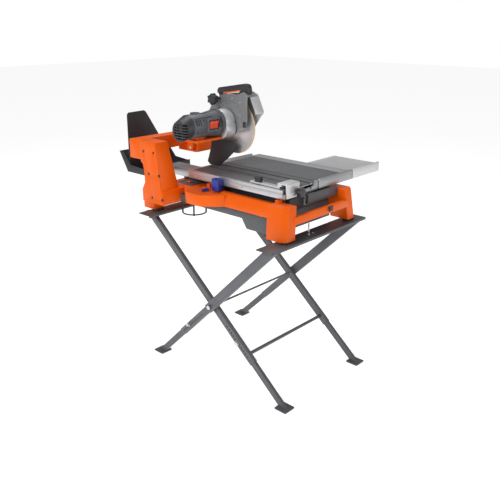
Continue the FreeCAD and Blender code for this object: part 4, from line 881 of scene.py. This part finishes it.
@dataclass
class Base:
    """The orange casting with column, arm, pan, trays and locks."""

    shop: Workshop

    def castings(self) -> None:
        """Orange castings with broad rounded edges."""
        refined(self.shop, "base_frame", 3.0)
        refined(self.shop, "column_base", 5.0)
        refined(self.shop, "column_cover", 1.5)
        refined(self.shop, "arm", 4.0)
        refined(self.shop, "cover_screws", 0.5, BLACK_PLASTIC)

    def trays(self) -> None:
        """Pan, liner, tray and splash sheet."""
        refined(self.shop, "water_pan", 1.5)
        refined(self.shop, "rear_tray", 1.5)
        refined(self.shop, "splash_guard", 1.2)
        refined(self.shop, "guide_liner", 1.2)
        refined(self.shop, "guide_beam", 0.8)
        refined(self.shop, "beam_end_plate", 1.5, GREY_PLASTIC)
        refined(self.shop, "pan_ring", 0)
        refined(self.shop, "water_pump", 1.5)
        refined(self.shop, "base_feet", 2.0)

    def locks(self) -> None:
        """The blue latch block and the wing lever."""
        refined(self.shop, "lock_lever", 2.5)
        refined(self.shop, "table_latch", 4.0)
        for corner in ("front_left", "front_right", "rear_left", "rear_right"):
            refined(self.shop, "roller_" + corner, 1.0)

    def small_parts(self) -> None:
        """The grey shelf cover with its tab, and the clip on the front bar."""
        at = self.shop.at
        dress(pocket_top("shelf_cover", at(-190, 216, 885.2), at(-114, 316, 889.4), 6.0, 1.6),
              GREY_PLASTIC, "saw_base")
        dress(block("shelf_tab", at(-160, 258, 888.0), at(-146, 276, 893.0), 1.2), ORANGE, "saw_base")
        dress(block("bar_clip", at(70, -407.5, 826), at(96, -401.8, 851), 1.2), BLACK_PLASTIC, "saw_base")

    def build(self) -> None:
        """Builds every piece of the base."""
        self.castings()
        self.trays()
        self.locks()
        self.small_parts()


@dataclass
class Table:
    """The sliding table with its fence, guides and side table."""

    shop: Workshop
    trim_lines: tuple[tuple[float, float], ...] = ((-53.0, -47.4), (-32.0, -26.0), (15.6, 20.8),
                                                   (29.2, 34.4), (68.0, 74.0))

    def trims(self) -> None:
        """Black edge strips along the mats and screws on the left rail."""
        at = self.shop.at
        for index, (x0, x1) in enumerate(self.trim_lines):
            strip = block("mat_trim_%d" % index, at(x0, -318, 951.6), at(x1, 243, 952.7), 0.3)
            dress(strip, BLACK_PLASTIC, "table")
        for index, y in enumerate((-250, -90, 70, 210)):
            screw = disc("rail_screw_%d" % index, at(-160, y, 926), Axis.X, 4.5, -2.4, 24, 0.5, 1.0)
            dress(screw, ZINC, "table")

    def build(self) -> None:
        """Builds every piece of the table."""
        refined(self.shop, "table_rails", 1.2)
        refined(self.shop, "table_plate", 0.4)
        refined(self.shop, "table_mats", 1.2)
        refined(self.shop, "front_apron", 1.2)
        refined(self.shop, "rear_fence", 1.2)
        refined(self.shop, "extension_table", 1.2, PALE_METAL)
        refined(self.shop, "extension_rods", 0.8)
        refined(self.shop, "rip_guide", 1.6, PALE_METAL)
        refined(self.shop, "guide_knob", 2.0)
        refined(self.shop, "rip_stop", 2.0)
        self.trims()


@dataclass
class Head:
    """The motor head: motor, gear case, guard, blade and its flap."""

    shop: Workshop

    def motor(self) -> None:
        """The motor's shell, tail cap, switch and the pieces inside."""
        refined(self.shop, "motor_housing", 1.2)
        refined(self.shop, "tail_cap", 1.5)
        refined(self.shop, "switch_rocker", 1.5)
        refined(self.shop, "cradle", 3.0)
        refined(self.shop, "plunge_pin", 1.0)
        for node in ("bearings", "stator", "rotor"):
            repaint(self.shop, node, IRON)

    def motor_details(self) -> None:
        """Switch panel, window, ribs, flange screws and the guard's screws."""
        shop, axis = self.shop, (150.0, 1177.7)
        panel = pocket("switch_panel", shop.at(-186, 91, 1152), shop.at(-110, 108, 1212), 7.0, 9.0)
        dress(panel, MOTOR, "head")
        dress(arc_band("side_window", shop, -119, -99, (56, 64.6), (-8, 34), axis), BLACK_PLASTIC, "head")
        rim = (127.0, 1150.0)
        dress(arc_band("guard_step", shop, -13.4, -9.6, (112, 119), (62, 168), rim), GUARD, "head")
        dress(block("guard_catch", shop.at(-15, 26, 1158), shop.at(-9.7, 42, 1184), 1.4), BLACK_PLASTIC, "head")
        for index, angle in enumerate((-34, 44, 78, 118, 160, 214)):
            rib = arc_band("motor_rib_%d" % index, shop, -256, -100, (52, 56.4), (angle, angle + 5), axis)
            dress(rib, MOTOR, "head")
        for index, angle in enumerate((52, -14, 118, 190, 250)):
            turn = math.radians(angle)
            y, z = axis[0] - 57.5 * math.cos(turn), axis[1] + 57.5 * math.sin(turn)
            screw = disc("flange_screw_%d" % index, shop.at(-96.5, y, z), Axis.X, 4.4, -4.5, 24, 0.6, 1.6)
            dress(screw, BLACK_PLASTIC, "head")
        dress(arc_band("flange_collar", shop, -96.8, -90, (58, 63.6), (0, 360), axis), MOTOR, "head")
        for index, (x, z) in enumerate(((-243, 1156), (-243, 1204), (-203, 1206), (-203, 1148))):
            reach = math.sqrt(54.0 ** 2 - (z - axis[1]) ** 2)
            screw = disc("shell_screw_%d" % index, shop.at(x, axis[0] - reach + 3, z), Axis.Y, 3.4, -4.6,
                         20, 0.5, 1.4)
            dress(screw, BLACK_PLASTIC, "head")
        for index, (y, z) in enumerate(((60, 1210), (60, 1270), (110, 1285), (180, 1250))):
            dress(disc("guard_screw_%d" % index, shop.at(-10, y, z), Axis.X, 5, -3.2, 24, 0.7, 1.2), ZINC, "head")

    def guard(self) -> None:
        """The guard, its handle and the knobs."""
        refined(self.shop, "gear_housing", 3.0)
        refined(self.shop, "guard_shell", 1.5)
        refined(self.shop, "guard_cover", 1.5)
        refined(self.shop, "guard_handle", 4.0)
        refined(self.shop, "handle_grip", 1.5)
        for node in ("guard_knob_left", "guard_knob_right", "plunge_knob"):
            refined(self.shop, node, 2.5)

    def cutting(self) -> None:
        """The blade with its arbor, and the splash flap."""
        centre = self.shop.at(25, 127, 1150)
        steel = DiamondBlade("blade_steel", (0.80, 0.80, 0.79), (0.62, 0.62, 0.62), 0.35, 0.2, 1.0,
                             centre=tuple(centre))
        refined(self.shop, "blade", 0.3, steel)
        refined(self.shop, "arbor", 0.4)
        refined(self.shop, "arbor_nut", 0.8)
        flap = refined(self.shop, "splash_flap", 1.0)
        tuple(self.shop.at(0, 238, 1094))
        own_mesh(flap)

    def build(self) -> None:
        """Builds every piece of the head."""
        self.motor()
        self.motor_details()
        self.guard()
        self.cutting()


# ------------------------------------------------------------------ stage

@dataclass
class Studio:
    """Pale floor, soft lights and the camera."""

    camera_place: Vector
    azimuth: float = -47.38
    elevation: float = 20.13
    lens: float = 45.5
    surroundings: float = 0.35
    floor_glow: float = 0.62

    def floor(self) -> None:
        """A wide pale floor."""
        bpy.ops.object.select_all(action="DESELECT")
        bpy.ops.mesh.primitive_plane_add(size=40.0, location=(0.0, 0.0, -0.0005))
        floor = bpy.context.object
        floor.name = "studio_floor"
        pale = bpy.data.materials.new("studio_floor")
        pale.use_nodes = True
        shader = pale.node_tree.nodes["Principled BSDF"]
        shader.inputs["Base Color"].default_value = (0.92, 0.92, 0.92, 1.0)
        shader.inputs["Roughness"].default_value = 0.9
        shader.inputs["Emission Color"].default_value = (1.0, 1.0, 1.0, 1.0)
        shader.inputs["Emission Strength"].default_value = self.floor_glow
        floor.data.materials.append(pale)

    def lamp(self, name: str, place: Point, power: float, size: float, target: Point) -> None:
        """A square area lamp aimed at a point."""
        data = bpy.data.lights.new(name, "AREA")
        data.energy = power
        data.size = size
        lamp = bpy.data.objects.new(name, data)
        lamp.location = place
        lamp.rotation_euler = (Vector(target) - Vector(place)).to_track_quat("-Z", "Y").to_euler()
        bpy.context.scene.collection.objects.link(lamp)

    def lights(self) -> None:
        """Bright surroundings, one key, one fill and one top light."""
        world = bpy.data.worlds.new("studio")
        world.use_nodes = True
        tree = world.node_tree
        soft = tree.nodes["Background"]
        soft.inputs["Color"].default_value = (1.0, 1.0, 1.0, 1.0)
        soft.inputs["Strength"].default_value = self.surroundings
        white = tree.nodes.new("ShaderNodeBackground")
        white.inputs["Color"].default_value = (1.0, 1.0, 1.0, 1.0)
        mix = tree.nodes.new("ShaderNodeMixShader")
        tree.links.new(tree.nodes.new("ShaderNodeLightPath").outputs["Is Camera Ray"], mix.inputs[0])
        tree.links.new(soft.outputs[0], mix.inputs[1])
        tree.links.new(white.outputs[0], mix.inputs[2])
        tree.links.new(mix.outputs[0], tree.nodes["World Output"].inputs["Surface"])
        bpy.context.scene.world = world
        self.lamp("key", (-3.6, -0.5, 2.7), 64.0, 1.4, (0.0, 0.0, 0.8))
        self.lamp("fill", (0.6, -4.2, 1.9), 26.0, 1.6, (0.0, 0.0, 0.8))
        self.lamp("top", (0.2, 0.6, 3.8), 44.0, 1.6, (0.0, 0.0, 0.8))

    def camera(self) -> None:
        """The camera at the saw's three-quarter view."""
        data = bpy.data.cameras.new("camera")
        data.lens = self.lens
        data.sensor_width = 36.0
        data.shift_x = -0.003
        data.shift_y = -0.0016
        camera = bpy.data.objects.new("camera", data)
        camera.location = self.camera_place
        camera.rotation_euler = (math.radians(90.0 - self.elevation), 0.0, math.radians(self.azimuth))
        bpy.context.scene.collection.objects.link(camera)
        bpy.context.scene.camera = camera

    def build(self) -> None:
        """Builds floor, lights and camera."""
        self.floor()
        self.lights()
        self.camera()


def main() -> None:
    logging.basicConfig(level=logging.INFO, format="%(name)s: %(message)s")
    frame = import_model()
    bpy.context.scene.view_settings.view_transform = "Standard"
    shop = Workshop(frame)
    for part in (Stand(shop), Base(shop), Table(shop), Head(shop)):
        part.build()
        LOG.info("built %s", type(part).__name__)
    Studio(shop.at(-2143.5, -1972.5, 1635.1)).build()


if __name__ == "__main__":
    main()
